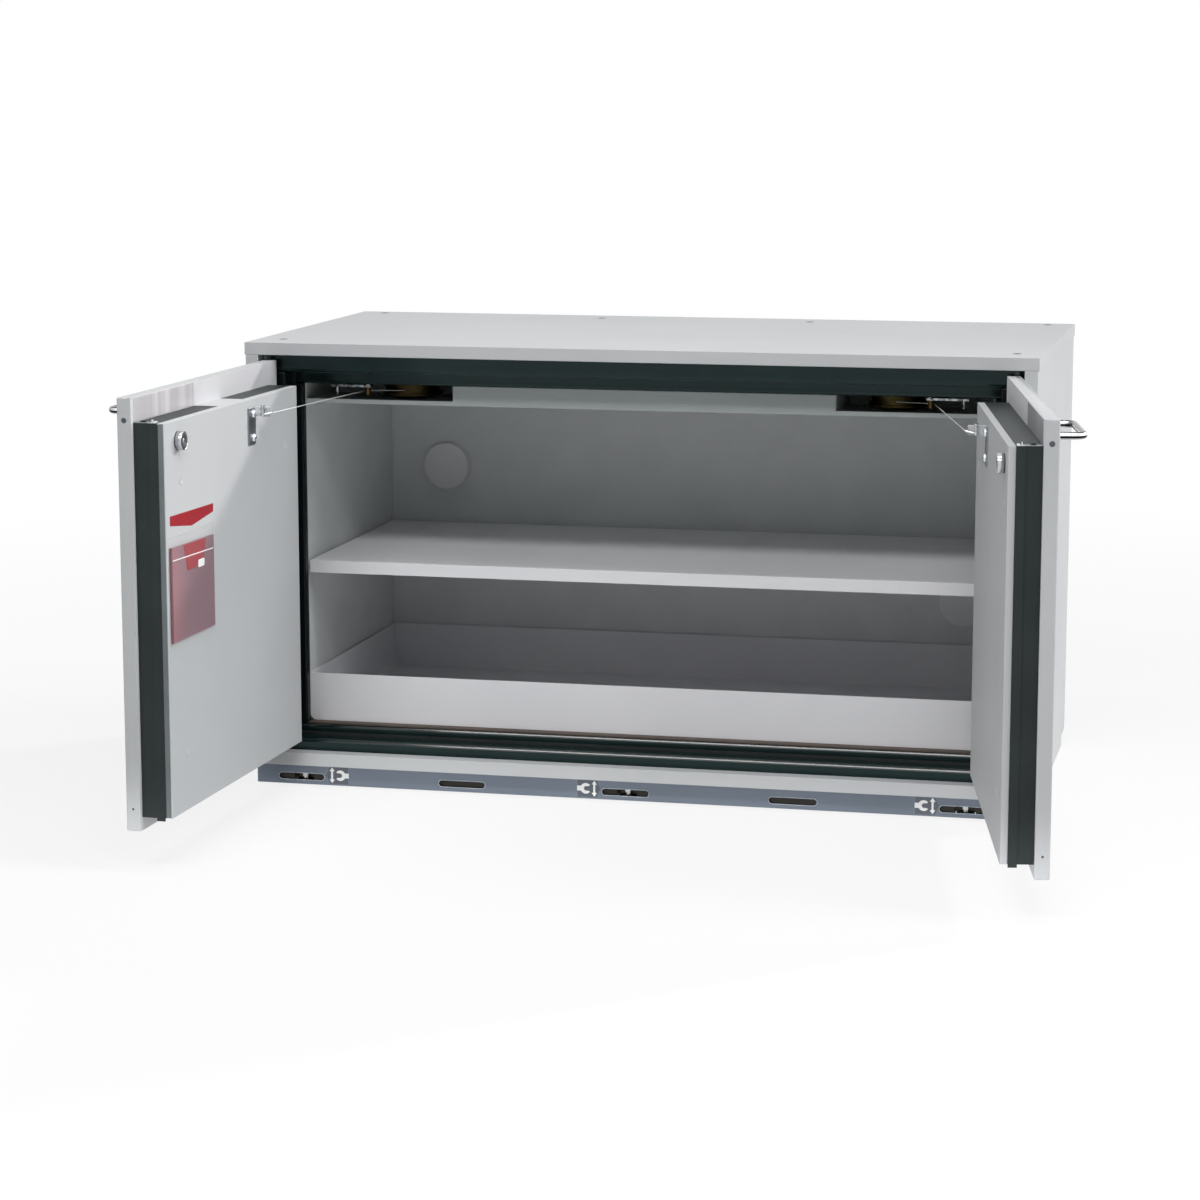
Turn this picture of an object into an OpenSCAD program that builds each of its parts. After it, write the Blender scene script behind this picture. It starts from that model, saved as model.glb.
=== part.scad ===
// Under-bench storage cabinet for flammable liquids, with two fire doors and wire door closers.
// Millimetres, +Z up, front towards -Y, origin on the floor at the middle of the body.
// The doors stand open as drawn. Front-plane coordinates have y = 0 on the body's front face.

/* [Body] */
// Overall width of the body
body_w = 1102; // [1060:1:1300]
// Overall depth of the body
body_d = 574; // [520:1:650]
// Overall height from the floor to the top panel
body_h = 630; // [590:1:720]
// Thickness of the painted sheet steel
sheet_t = 1.5; // [1:0.1:1.6]

/* [Front surround] */
// Height of the top panel's flanges
top_flange_h = 17; // [14:0.5:24]
// Width of the side panels' front strips
strip_w = 18; // [14:0.5:24]
// Height of the base panel's front flange
base_flange_h = 18.5; // [14:0.5:24]
// Depth of the rebate that the doors close into
rebate_d = 21; // [21:0.5:24]

/* [Toe kick] */
// Height of the toe kick under the base panel
kick_h = 31; // [29:0.5:40]
// Setback of the kick rail from the front face
kick_set = 20; // [15:0.5:30]
// Length of the spanner slots in the kick rail
slot_l = 68; // [50:1:80]
// Height of the spanner slots
slot_h = 10; // [8:0.5:14]
// Height of the slots' middle above the floor
slot_z = 11; // [9:0.5:14]
// Distance of the first slot's middle from the left side
slot_in_left = 67.5; // [60:0.5:80]
// Distance of the last slot's middle from the right side
slot_in_right = 90.5; // [80:0.5:100]
// Depth of the skirting notch at the sides' lower rear corner
notch_d = 54; // [40:1:70]
// Height of the skirting notch
notch_h = 16; // [10:1:24]

/* [Feet] */
// Diameter of the levelling screws
foot_screw_d = 12; // [10:0.5:14]
// Diameter of the foot pads
foot_pad_d = 26; // [24:1:30]
// Thickness of the foot pads
foot_pad_t = 4; // [3:0.5:4.5]
// Side of the square drive on the screws
foot_drive = 7; // [6:0.5:8]
// Depth of the screws' threaded blocks
foot_block_t = 12; // [9:0.5:12]
// Distance from the kick rail's face to the front screws
foot_in = 20; // [18:0.5:26]

/* [Walls] */
// Thickness of the side walls
side_wall = 60; // [56:0.5:70]
// Thickness of the rear wall
rear_wall = 62; // [50:0.5:75]
// Thickness of the roof
roof_wall = 46; // [38:0.5:56]
// Thickness of the inner linings
lining_t = 2; // [1.5:0.1:3]

/* [Front frame] */
// Depth of the lip that the doors close against
lip_d = 16; // [12:0.5:20]
// Gap between a closed door's inner panel and the lip
stop_gap = 2.5; // [1.5:0.1:4]
// Gap between the door plug and the side reveal
reveal_gap = 4.5; // [4:0.1:6]
// Gap between the door plug and the head
head_gap = 14.5; // [8:0.5:16]
// Gap between the door plug and the sill
sill_gap = 5.5; // [5:0.1:7]
// Overlap of the side lips over the plug
side_lap = 7.5; // [4:0.5:10]
// Overlap of the head lip over the plug
head_lap = 5; // [2:0.5:8]
// Overlap of the sill lip over the plug
sill_lap = 8; // [4:0.5:10]
// Width of the heat seal in the reveal
seal_w = 8; // [5:0.5:12]
// Thickness of the heat seal
seal_t = 3; // [2:0.1:3]

/* [Doors] */
// Opening angle of the left door as drawn
left_open = 91.5; // [80:0.5:110]
// Opening angle of the right door as drawn
right_open = 100.5; // [80:0.5:110]
// Gap beside the doors
side_gap = 4; // [3.5:0.1:6]
// Gap above the doors
top_gap = 7.7; // [6:0.1:10]
// Gap below the doors
bottom_gap = 4.9; // [4:0.1:7]
// Gap between the doors
centre_gap = 4; // [3:0.1:8]
// Depth of the outer pan
pan_d = 14.5; // [13:0.1:16]
// Depth of the lid that closes the pan
lid_d = 4; // [3:0.1:5]
// Depth of the plug's core behind the lid
core_d = 31.5; // [25:0.5:35]
// Depth of the inner panel
inner_d = 9.5; // [8:0.1:12]
// Setback of the plug from the hinge edge
plug_hinge_in = 33; // [30:0.5:40]
// Setback of the plug from the free edge
plug_free_in = 7.5; // [6:0.5:12]
// Setback of the plug from the door's top
plug_top_in = 31.8; // [26:0.1:36]
// Setback of the plug from the door's bottom
plug_bottom_in = 17.1; // [15:0.1:20]
// Thickness of the plug's edge strips
edge_t = 2.5; // [2:0.1:4]

/* [Pivots] */
// Distance of the pivot from the hinge edge
pivot_u = 6; // [5.5:0.1:7]
// Distance of the pivot behind the outer face
pivot_v = 5.5; // [5.5:0.1:6.5]
// Diameter of the pivot pins
pin_d = 5; // [4:0.1:5.5]
// Diameter of the pivot collars
collar_d = 7; // [6:0.1:10]
// Outside diameter of the pivot bushes
bush_d = 7.6; // [6.6:0.1:7.6]
// Length of the pivot bushes
bush_l = 17; // [12:0.5:25]
// Radial clearance of the running fits
run_gap = 0.05; // [0.03:0.01:0.1]

/* [Handles] */
// Distance between the handle's legs
handle_span = 128; // [96:1:160]
// Diameter of the handle's rod
handle_rod = 9; // [7:0.5:11]
// Reach of the handle from the door's face
handle_reach = 36; // [34:0.5:45]
// Distance of the right handle's outer leg from the free edge
handle_in = 30; // [26:0.5:40]
// Distance of the left handle's outer leg from the free edge
left_handle_in = 52; // [40:0.5:60]
// Distance of the handle below the door's top
handle_drop = 22; // [18:0.5:40]
// Bend radius of the handle's corners
handle_bend = 12; // [8:0.5:14]

/* [Door fittings] */
// Diameter of the magnet catch
catch_d = 24; // [18:0.5:28]
// Height of the magnet catch
catch_h = 9.5; // [6:0.1:9.8]
// Distance of the catch from the free edge
catch_in = 50.5; // [45:0.5:70]
// Distance of the catch below the door's top
catch_drop = 57.5; // [54:0.5:60]
// Width of the wire bracket's plate
bracket_w = 26; // [22:0.5:32]
// Height of the wire bracket's plate
bracket_h = 50; // [44:0.5:60]
// Thickness of the wire bracket
bracket_t = 2; // [1.5:0.1:2.5]
// Distance of the bracket's tab from the hinge edge
bracket_in = 200; // [190:1:215]
// Distance of the bracket below the door's top
bracket_drop = 43; // [41:0.5:45]
// Height of the bracket's tab
tab_h = 13; // [11:0.5:13]
// Reach of the bracket's tab from the inner panel
tab_reach = 24; // [20:0.5:25]
// Head diameter of the bracket's screws
screw_head_d = 10; // [8:0.5:11]
// Width of the document pocket
pocket_w = 154; // [140:1:180]
// Height of the document pocket
pocket_h = 137; // [100:1:150]
// Distance of the pocket from the free edge
pocket_in = 10.5; // [8:0.5:20]
// Distance of the pocket's foot above the door's bottom
pocket_rise = 238; // [180:1:260]

/* [Closer] */
// Width of the valance's cut-outs
cut_w = 216.5; // [210:0.5:225]
// Height of the valance
valance_h = 28.5; // [26:0.5:30]
// Height of the strip under the cut-outs
valance_strip = 6.5; // [5:0.5:6.5]
// Depth of the closers' housings behind the valance
housing_d = 132; // [122:1:150]
// Distance of the reel's axis from the side lining
reel_side = 143; // [138:1:148]
// Distance of the reel's axis behind the valance
reel_in = 68; // [64:1:72]
// Diameter of the reel's flanges
reel_d = 86; // [80:1:90]
// Diameter of the reel's winding
reel_core_d = 76; // [66:0.5:76]
// Height of the reel
reel_h = 16; // [12:0.5:18]
// Diameter of the reel's axle
axle_d = 10; // [8:0.5:12]
// Diameter of the closing wires
wire_d = 1.2; // [1:0.1:2]

/* [Interior] */
// Distance of the shelf's top below the ceiling
shelf_drop = 271; // [220:1:300]
// Depth of the shelf's turned-down edges
shelf_edge = 17.7; // [14:0.1:24]
// Gap beside the shelf
shelf_gap = 4; // [2:0.5:6]
// Distance of the shelf behind the frame
shelf_in = 4; // [2:0.5:10]
// Gap beside the sump
sump_gap = 2; // [1:0.5:4]
// Distance of the sump behind the frame
sump_in = 2; // [1:0.5:10]
// Height of the sump
sump_h = 68.5; // [50:0.5:90]
// Radius of the sump's lower edges
sump_r = 10; // [6:0.5:14]
// Diameter of the shelf's support pins
stud_d = 8; // [6:0.5:10]
// Bore of the duct sleeves
duct_d = 50; // [40:1:60]
// Wall of the duct sleeves
duct_wall = 3; // [2:0.1:4]

/* [Hidden] */
$fn = 48;
eps = 1;
pan_t = pan_d + lid_d;
side_in = body_w / 2 - sheet_t;
sheet_in = side_in - sheet_t;
strip_in = side_in - strip_w;
top_in = body_h - sheet_t;
flange_z = body_h - top_flange_h;
ledge_z = kick_h + base_flange_h;
lining_x = body_w / 2 - side_wall;
board_x = lining_x + lining_t;
lining_y = body_d - rear_wall;
board_y = lining_y + lining_t;
back_in = body_d - 2 * sheet_t;
ceiling_z = body_h - roof_wall;

hinge_x = strip_in - side_gap;
door_w = hinge_x - centre_gap / 2;
door_z0 = ledge_z + bottom_gap;
door_z1 = flange_z - top_gap;
plug_u0 = plug_hinge_in;
plug_u1 = door_w - plug_free_in;
plug_z0 = door_z0 + plug_bottom_in;
plug_z1 = door_z1 - plug_top_in;
core_v = pan_t + core_d;
face_v = core_v + inner_d;
board_gap = 0.5;
joint_gap = 0.3;

reveal_x = hinge_x - plug_u0 + reveal_gap;
lip_x = hinge_x - plug_u0 - side_lap;
lip_y = face_v + stop_gap;
frame_y = lip_y + lip_d;
head_z = plug_z1 + head_gap;
head_lip_z = plug_z1 - head_lap;
sill_z = plug_z0 - sill_gap;
sill_lip_z = plug_z0 + sill_lap;
floor_z = sill_lip_z + lining_t;
seal_y = lip_y - 2 - seal_w;
groove = 1.5;

valance_y = face_v + catch_h + eps;
valance_z = head_lip_z - valance_h;
valance_x = lip_x - 0.5;
cut_z = valance_z + valance_strip;
housing_y = valance_y + sheet_t;
housing_x = min(valance_x, lining_x - 0.5);
cut_in = valance_x - cut_w;
reel_x = lining_x - reel_side;
housing_z = valance_z + sheet_t;
reel_y = housing_y + reel_in;
reel_z = cut_z + 3;
plate_t = 3;
guide_d = 8;
guide_x = reel_x + reel_d / 2 + 7;
guide_y = valance_y + 14;
guide_z = reel_z + reel_h / 2;
lever_l = 58;
lever_w = 12;
lever_t = 3;
lever_z = guide_z + 5.5;
hook_l = 11;

handle_z = door_z1 - handle_drop;
handle_v = handle_rod / 2 - handle_reach;
catch_u = door_w - catch_in;
catch_z = door_z1 - catch_drop;
bracket_z1 = door_z1 - bracket_drop;
swivel_v = face_v + tab_reach - 10;
swivel_z = bracket_z1 - tab_h / 2;
swivel_d = 4;
swivel_u = bracket_in + bracket_t + 4;
eye_z = bracket_z1 - tab_h + 3.5;
ferrule_d = 3;
ferrule_from = [swivel_u + 1, swivel_v + 3, eye_z];
ferrule_to = [bracket_in + bracket_t + 1, face_v + tab_reach + 3, eye_z + 2];
wire_gap = 1.1;
pocket_u1 = door_w - pocket_in;
pocket_u0 = pocket_u1 - pocket_w;
pocket_z0 = door_z0 + pocket_rise;
pocket_t = 5;
film_t = 0.8;

shelf_z = ceiling_z - shelf_drop;
shelf_x = lining_x - shelf_gap;
shelf_y0 = frame_y + shelf_in;
shelf_y1 = lining_y - 12;
sump_x = lining_x - sump_gap;
sump_y0 = frame_y + sump_in;
sump_y1 = lining_y - 4;
stud_in = 60;
stud_l = 14;
stud_gap = 0.3;
duct_x = lining_x - 91;
top_split = [218, 308];
edge_plug_d = 7;
edge_plug_drop = 28.5;
rivet_d = 3.2;
duct_z = [400, 215];
slot_pitch = (body_w - slot_in_left - slot_in_right) / 4;
slot_x = [for (i = [0:4]) slot_in_left - body_w / 2 + i * slot_pitch];
foot_y = kick_set + foot_in;
foot_rear_y = body_d - notch_d - 35;
foot_rear_x = lining_x - 20;
foot_block = 36;
foot_play = 1;
foot_neck_d = 6;
foot_neck_h = 3.6;
plug_top_x = [body_w / 2 - 36, body_w / 2 - 39, body_w / 2 - 391];
plug_top_y = [63.5, body_d - 24, body_d - 49];
plug_top_d = 13;

paint = "#c9cbcc";
paint_dark = "#2c3434";
kick_paint = "#7c8894";
zinc = "#b9bdc0";
chrome = "#d8dadc";
board = "#d9d4c8";
steel = "#8c9093";

// A block from one corner to the other
module block(x, y, z) {
    translate([x[0], y[0], z[0]])
        cube([x[1] - x[0], y[1] - y[0], z[1] - z[0]]);
}

// Front-plane coordinates to the body's middle
module from_front() {
    translate([0, -body_d / 2, 0])
        children();
}

// The same piece on the left and on the right
module both_sides() {
    children();
    mirror([1, 0, 0])
        children();
}

// A profile drawn in depth and height, drawn out from x0 to x1
module along_x(x0, x1) {
    translate([x0, 0, 0])
        rotate([90, 0, 90])
            linear_extrude(x1 - x0)
                children();
}

// A round bar upright at a point
module upright(d, x, y, z) {
    translate([x, y, z[0]])
        cylinder(d = d, h = z[1] - z[0]);
}

// A round bar between two points
module strut(a, b, d) {
    run = b - a;
    translate(a)
        rotate([0, acos(run[2] / norm(run)), atan2(run[1], run[0])])
            cylinder(d = d, h = norm(run));
}

// Door coordinates (u from the hinge edge, v from the outer face) to the open left door
module on_left_door() {
    from_front()
        translate([pivot_u - hinge_x, pivot_v, 0])
            rotate([0, 0, -left_open])
                translate([-pivot_u, -pivot_v, 0])
                    children();
}

// The same for the open right door
module on_right_door() {
    mirror([1, 0, 0])
        from_front()
            translate([pivot_u - hinge_x, pivot_v, 0])
                rotate([0, 0, -right_open])
                    translate([-pivot_u, -pivot_v, 0])
                        children();
}

// Where a door point stands, seen from the left-hand corner, at an opening angle
function door_point(u, v, z, angle) = [
    pivot_u - hinge_x + (u - pivot_u) * cos(angle) + (v - pivot_v) * sin(angle),
    pivot_v - (u - pivot_u) * sin(angle) + (v - pivot_v) * cos(angle),
    z
];

function unit(v) = v / norm(v);

// Rings of points square to a route, for a swept round bar
function route_dir(route, i) = unit(route[min(i + 1, len(route) - 1)] - route[max(i - 1, 0)]);
function route_ring(p, d, r, sides) =
    let (a = unit(cross(d, [0, 0, 1])), b = cross(a, d))
        [for (k = [0:sides - 1]) p + r * (cos(360 * k / sides) * a + sin(360 * k / sides) * b)];

module swept_bar(route, d, sides = 8) {
    last = len(route) - 1;
    points = [for (i = [0:last]) each route_ring(route[i], route_dir(route, i), d / 2, sides)];
    walls = [
        for (i = [0:last - 1], k = [0:sides - 1])
            let (n = (k + 1) % sides)
                each [
                    [i * sides + k, i * sides + n, (i + 1) * sides + n],
                    [i * sides + k, (i + 1) * sides + n, (i + 1) * sides + k]
                ]
    ];
    near_end = [for (k = [1:sides - 2]) [0, k + 1, k]];
    base = last * sides;
    far_end = [for (k = [1:sides - 2]) [base, base + k, base + k + 1]];
    polyhedron(points, concat(walls, near_end, far_end));
}

// A flat-bottomed trough outline with rounded lower corners
module trough_outline(half_w, h, r) {
    translate([-half_w, r])
        square([2 * half_w, h - r]);
    translate([r - half_w, 0])
        square([2 * (half_w - r), r + eps]);
    for (s = [-1, 1])
        translate([s * (half_w - r), r])
            circle(r);
}

// Top cover with flanges all round and a front return
module top_panel() {
    color(paint)
        from_front() {
            difference() {
                block([-body_w / 2, body_w / 2], [0, body_d], [flange_z, body_h]);
                block([-side_in, side_in], [sheet_t, body_d - sheet_t], [flange_z - eps, top_in]);
                for (x = plug_spots())
                    upright(plug_top_d, x[0], x[1], [top_in - eps, body_h + eps]);
            }
            block([-sheet_in, sheet_in], [sheet_t, rebate_d], [flange_z, flange_z + sheet_t]);
        }
}

function plug_spots() = [
    for (s = [-1, 1], i = [0:2])
        [s * plug_top_x[i], plug_top_y[i]]
];

// Caps in the top panel's fixing holes
module top_plugs() {
    color(steel)
        from_front()
            for (x = plug_spots())
                upright(plug_top_d - 0.4, x[0], x[1], [top_in, body_h - 0.4]);
}

// Side panel with its front strip, the strip's return, a toe kick and a skirting notch
module right_side() {
    kick_y = kick_set + sheet_t;
    along_x(sheet_in, side_in)
        polygon([
            [0, kick_h], [kick_y, kick_h], [kick_y, 0], [body_d - notch_d, 0],
            [body_d - notch_d, notch_h], [body_d, notch_h], [body_d, flange_z],
            [body_d - sheet_t, flange_z], [body_d - sheet_t, top_in],
            [rebate_d, top_in], [rebate_d, flange_z], [0, flange_z]
        ]);
    block([strip_in, side_in], [0, sheet_t], [ledge_z, flange_z]);
    block([strip_in, strip_in + sheet_t], [0, rebate_d], [ledge_z, flange_z]);
}

module left_side_panel() {
    color(paint)
        mirror([1, 0, 0])
            from_front()
                right_side();
}

module right_side_panel() {
    color(paint)
        from_front()
            right_side();
}

// Rear sheet, drilled for the duct sleeves
module rear_panel() {
    color(paint)
        from_front()
            difference() {
                block([-sheet_in, sheet_in], [back_in, body_d - sheet_t], [kick_h, top_in]);
                duct_holes(back_in);
            }
}

// Base sheet with its front flange and the ledge under the doors
module base_panel() {
    color(paint)
        from_front() {
            block([-sheet_in, sheet_in], [0, back_in], [kick_h, kick_h + sheet_t]);
            block([-sheet_in, sheet_in], [0, sheet_t], [kick_h, ledge_z]);
            block([-sheet_in, sheet_in], [0, rebate_d], [ledge_z - sheet_t, ledge_z]);
        }
}

// A slot with round ends, cut along Y
module slot_cut(x) {
    translate([x, kick_set - eps, slot_z])
        rotate([-90, 0, 0])
            linear_extrude(sheet_t + 2 * eps) {
                square([slot_l - slot_h, slot_h], center = true);
                for (s = [-1, 1])
                    translate([s * (slot_l - slot_h) / 2, 0])
                        circle(d = slot_h);
            }
}

// Kick rail with spanner slots and a flange under the base
module kick_rail() {
    flange_d = 10;
    color(kick_paint)
        from_front() {
            difference() {
                block([-side_in, side_in], [kick_set, kick_set + sheet_t], [0, kick_h]);
                for (x = slot_x)
                    slot_cut(x);
            }
            block([1 - sheet_in, sheet_in - 1], [kick_set, kick_set + flange_d], [kick_h - sheet_t, kick_h]);
        }
}

// Channel under the middle of the base
module centre_runner() {
    half_w = 25;
    front = foot_y + foot_block;
    color(kick_paint)
        from_front()
            difference() {
                block([-half_w, half_w], [front, body_d - notch_d], [0, kick_h]);
                block([sheet_t - half_w, half_w - sheet_t], [front - eps, body_d], [sheet_t, kick_h + eps]);
            }
}

function foot_spots() = [
    [slot_x[0], foot_y], [slot_x[2], foot_y], [slot_x[4], foot_y],
    [-foot_rear_x, foot_rear_y], [foot_rear_x, foot_rear_y]
];

// Threaded blocks for the levelling screws
module foot_blocks() {
    bore = foot_screw_d + 2 * run_gap;
    front = foot_in - sheet_t - eps;
    color(steel)
        from_front()
            for (s = foot_spots())
                difference() {
                    block(
                        [s[0] - foot_block / 2, s[0] + foot_block / 2],
                        [s[1] - front / 2, s[1] + foot_block / 2],
                        [kick_h - foot_block_t, kick_h]
                    );
                    upright(bore, s[0], s[1], [0, kick_h + eps]);
                }
}

// A levelling screw with its pad, neck and square drive, resting on the floor
module foot(i) {
    drive_z0 = foot_pad_t + foot_neck_h;
    drive_z1 = kick_h - foot_block_t - foot_play;
    color(zinc)
        from_front()
            translate([foot_spots()[i][0], foot_spots()[i][1], 0]) {
                cylinder(d = foot_pad_d, h = foot_pad_t);
                cylinder(d = foot_neck_d, h = drive_z1);
                translate([-foot_drive / 2, -foot_drive / 2, drive_z0])
                    cube([foot_drive, foot_drive, drive_z1 - drive_z0]);
                translate([0, 0, drive_z1 - eps])
                    cylinder(d = foot_screw_d, h = kick_h - foot_play - drive_z1 + eps);
            }
}

module front_left_foot() {
    foot(0);
}

module front_centre_foot() {
    foot(1);
}

module front_right_foot() {
    foot(2);
}

module rear_left_foot() {
    foot(3);
}

module rear_right_foot() {
    foot(4);
}

// Holes through the rear wall for the duct sleeves
module duct_holes(y) {
    for (i = [0, 1])
        translate([(2 * i - 1) * duct_x, y - eps, duct_z[i]])
            rotate([-90, 0, 0])
                cylinder(d = duct_d + 2 * duct_wall + 0.6, h = rear_wall + 2 * eps);
}

// Fire boards in the roof, floor, sides and rear
module wall_boards() {
    wall_z = [sill_lip_z + joint_gap, ceiling_z + lining_t - joint_gap];
    color(board)
        from_front() {
            block([-sheet_in, sheet_in], [frame_y, back_in], [ceiling_z + lining_t, top_in]);
            block([-sheet_in, sheet_in], [frame_y, back_in], [kick_h + sheet_t, sill_lip_z]);
            both_sides()
                block([board_x, sheet_in], [frame_y, back_in], wall_z);
            difference() {
                block([joint_gap - board_x, board_x - joint_gap], [board_y, back_in], wall_z);
                duct_holes(lining_y);
            }
        }
}

// Head and sill of the front frame, each with a lip behind the doors
module frame_rails() {
    joint_z = head_lip_z + 6;
    color(paint_dark)
        from_front() {
            along_x(-sheet_in, sheet_in)
                polygon([
                    [rebate_d, head_z], [lip_y, head_z], [lip_y, joint_z + groove],
                    [lip_y + groove, joint_z + groove], [lip_y + groove, joint_z], [lip_y, joint_z],
                    [lip_y, head_lip_z], [frame_y, head_lip_z], [frame_y, top_in], [rebate_d, top_in]
                ]);
            along_x(-sheet_in, sheet_in)
                polygon([
                    [rebate_d, kick_h + sheet_t], [frame_y, kick_h + sheet_t], [frame_y, sill_lip_z],
                    [lip_y, sill_lip_z], [lip_y, sill_z], [rebate_d, sill_z]
                ]);
        }
}

// Side posts of the front frame
module frame_jambs() {
    color(paint_dark)
        from_front()
            both_sides() {
                block([reveal_x, sheet_in], [rebate_d, lip_y], [sill_z, head_z]);
                block([lip_x, sheet_in], [lip_y, frame_y], [sill_lip_z, head_lip_z]);
            }
}

// Heat-swelling seals round the reveal
module frame_seals() {
    y = [seal_y, seal_y + seal_w];
    post_z = [sill_z + seal_t + joint_gap, head_z - seal_t - joint_gap];
    color("#3a3f40")
        from_front() {
            block([-reveal_x, reveal_x], y, [sill_z, sill_z + seal_t]);
            block([-reveal_x, reveal_x], y, [head_z - seal_t, head_z]);
            both_sides()
                block([reveal_x - seal_t, reveal_x], y, post_z);
        }
}

// Floor lining, brought forward over the sill's lip
module floor_lining() {
    color("#b8b0a6")
        from_front() {
            block([-board_x, board_x], [frame_y, board_y], [sill_lip_z, floor_z]);
            block([-valance_x, valance_x], [lip_y + 2, frame_y], [sill_lip_z, floor_z]);
        }
}

// Linings of the ceiling, the sides and the rear
module wall_linings() {
    lining_z = [floor_z, ceiling_z - joint_gap];
    color(paint)
        from_front() {
            block([-board_x, board_x], [frame_y, board_y], [ceiling_z, ceiling_z + lining_t]);
            both_sides()
                block([lining_x, board_x], [frame_y, board_y], lining_z);
            difference() {
                block([joint_gap - lining_x, lining_x - joint_gap], [lining_y, board_y], lining_z);
                duct_holes(lining_y);
            }
        }
}

// Valance under the frame's head, cut out at both ends for the closers
module valance() {
    flange_d = 8;
    return_d = 14;
    color(paint)
        from_front() {
            difference() {
                block([-valance_x, valance_x], [valance_y, valance_y + sheet_t], [valance_z, head_lip_z]);
                both_sides()
                    block([cut_in, body_w], [valance_y - eps, housing_y + eps], [cut_z, body_h]);
            }
            block(
                [-cut_in + eps, cut_in - eps],
                [valance_y, valance_y + flange_d],
                [head_lip_z - sheet_t, head_lip_z]
            );
            block(
                [-valance_x, valance_x],
                [valance_y, valance_y + return_d],
                [valance_z, valance_z + sheet_t]
            );
        }
}

// Studs in the side linings that carry the shelf
module shelf_studs() {
    stud_z = shelf_z - shelf_edge - stud_gap - stud_d / 2;
    color(zinc)
        from_front()
            both_sides()
                for (y = [shelf_y0 + stud_in, shelf_y1 - stud_in])
                    translate([lining_x - stud_l, y, stud_z])
                        rotate([0, 90, 0])
                            cylinder(d = stud_d, h = stud_l);
}

// Shelf with turned-down edges
module shelf() {
    color(paint)
        from_front()
            difference() {
                block([-shelf_x, shelf_x], [shelf_y0, shelf_y1], [shelf_z - shelf_edge, shelf_z]);
                block(
                    [sheet_t - shelf_x, shelf_x - sheet_t],
                    [shelf_y0 + sheet_t, shelf_y1 - sheet_t],
                    [shelf_z - shelf_edge - eps, shelf_z - sheet_t]
                );
            }
}

// Sump tray with rounded lower side edges
module sump_tray() {
    color(paint)
        from_front()
            translate([0, 0, floor_z])
                difference() {
                    translate([0, sump_y1, 0])
                        rotate([90, 0, 0])
                            linear_extrude(sump_y1 - sump_y0)
                                trough_outline(sump_x, sump_h, sump_r);
                    translate([0, sump_y1 - sheet_t, sheet_t])
                        rotate([90, 0, 0])
                            linear_extrude(sump_y1 - sump_y0 - 2 * sheet_t)
                                trough_outline(sump_x - sheet_t, sump_h, sump_r - sheet_t);
                }
}

// Duct sleeves through the rear wall, each with an inner collar and a valve disc on three posts
module duct_sleeves() {
    collar_t = 3;
    post_r = duct_d / 2 + duct_wall + 4;
    post_l = 9;
    disc_t = 2;
    color(zinc)
        from_front()
            for (i = [0, 1])
                translate([(2 * i - 1) * duct_x, lining_y, duct_z[i]])
                    rotate([-90, 0, 0]) {
                        difference() {
                            union() {
                                cylinder(d = duct_d + 2 * duct_wall, h = rear_wall);
                                translate([0, 0, -collar_t])
                                    cylinder(r = post_r + 4, h = collar_t);
                            }
                            translate([0, 0, -collar_t - eps])
                                cylinder(d = duct_d, h = rear_wall + collar_t + 2 * eps);
                        }
                        for (k = [0:2])
                            rotate([0, 0, 30 + 120 * k])
                                translate([post_r, 0, -collar_t - post_l])
                                    cylinder(d = 4, h = post_l + eps);
                        translate([0, 0, -collar_t - post_l - disc_t])
                            cylinder(r = post_r + 3, h = disc_t + eps);
                    }
}

// Pivot pins with collars, above and below each door
module door_pivots() {
    x = hinge_x - pivot_u;
    collar_gap = 0.4;
    color(zinc)
        from_front()
            both_sides() {
                upright(collar_d, x, pivot_v, [ledge_z, door_z0 - collar_gap]);
                upright(pin_d, x, pivot_v, [ledge_z, door_z0 + bush_l - 2]);
                upright(collar_d, x, pivot_v, [door_z1 + 2, flange_z]);
                upright(pin_d, x, pivot_v, [door_z1 + 2 - bush_l, flange_z]);
            }
}

// Housings behind the valance's cut-outs
module closer_housings() {
    y1 = housing_y + housing_d;
    color(paint_dark)
        from_front()
            both_sides() {
                block([cut_in - sheet_t, housing_x], [housing_y, y1], [housing_z, housing_z + sheet_t]);
                block([cut_in - sheet_t, housing_x], [y1 - sheet_t, y1], [housing_z, ceiling_z]);
                block([cut_in - sheet_t, cut_in], [frame_y + 1, y1], [housing_z, ceiling_z]);
                block([housing_x - sheet_t, housing_x], [housing_y, y1], [housing_z, head_lip_z - 1]);
                block([housing_x - sheet_t, housing_x], [frame_y + 1, y1], [housing_z, ceiling_z]);
            }
}

// Plates under the ceiling with the reels' axles
module closer_plates() {
    color(zinc)
        from_front()
            both_sides() {
                block(
                    [cut_in + 4, guide_x + lever_l + 4],
                    [frame_y + 2, housing_y + housing_d - 6],
                    [ceiling_z - plate_t, ceiling_z]
                );
                upright(axle_d, reel_x, reel_y, [reel_z - 3, ceiling_z - eps]);
                upright(axle_d + 8, reel_x, reel_y, [reel_z - 3.5, reel_z - 0.5]);
            }
}

// A spring reel, here on the right-hand side
module reel() {
    cheek = 3;
    from_front()
        translate([reel_x, reel_y, reel_z])
            difference() {
                union() {
                    cylinder(d = reel_core_d, h = reel_h);
                    cylinder(d = reel_d, h = cheek);
                    translate([0, 0, reel_h - cheek])
                        cylinder(d = reel_d, h = cheek);
                }
                translate([0, 0, -eps])
                    cylinder(d = axle_d + 2 * run_gap, h = reel_h + 2 * eps);
            }
}

module left_reel() {
    color("#474b4c")
        mirror([1, 0, 0])
            reel();
}

module right_reel() {
    color("#474b4c")
        reel();
}

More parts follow.
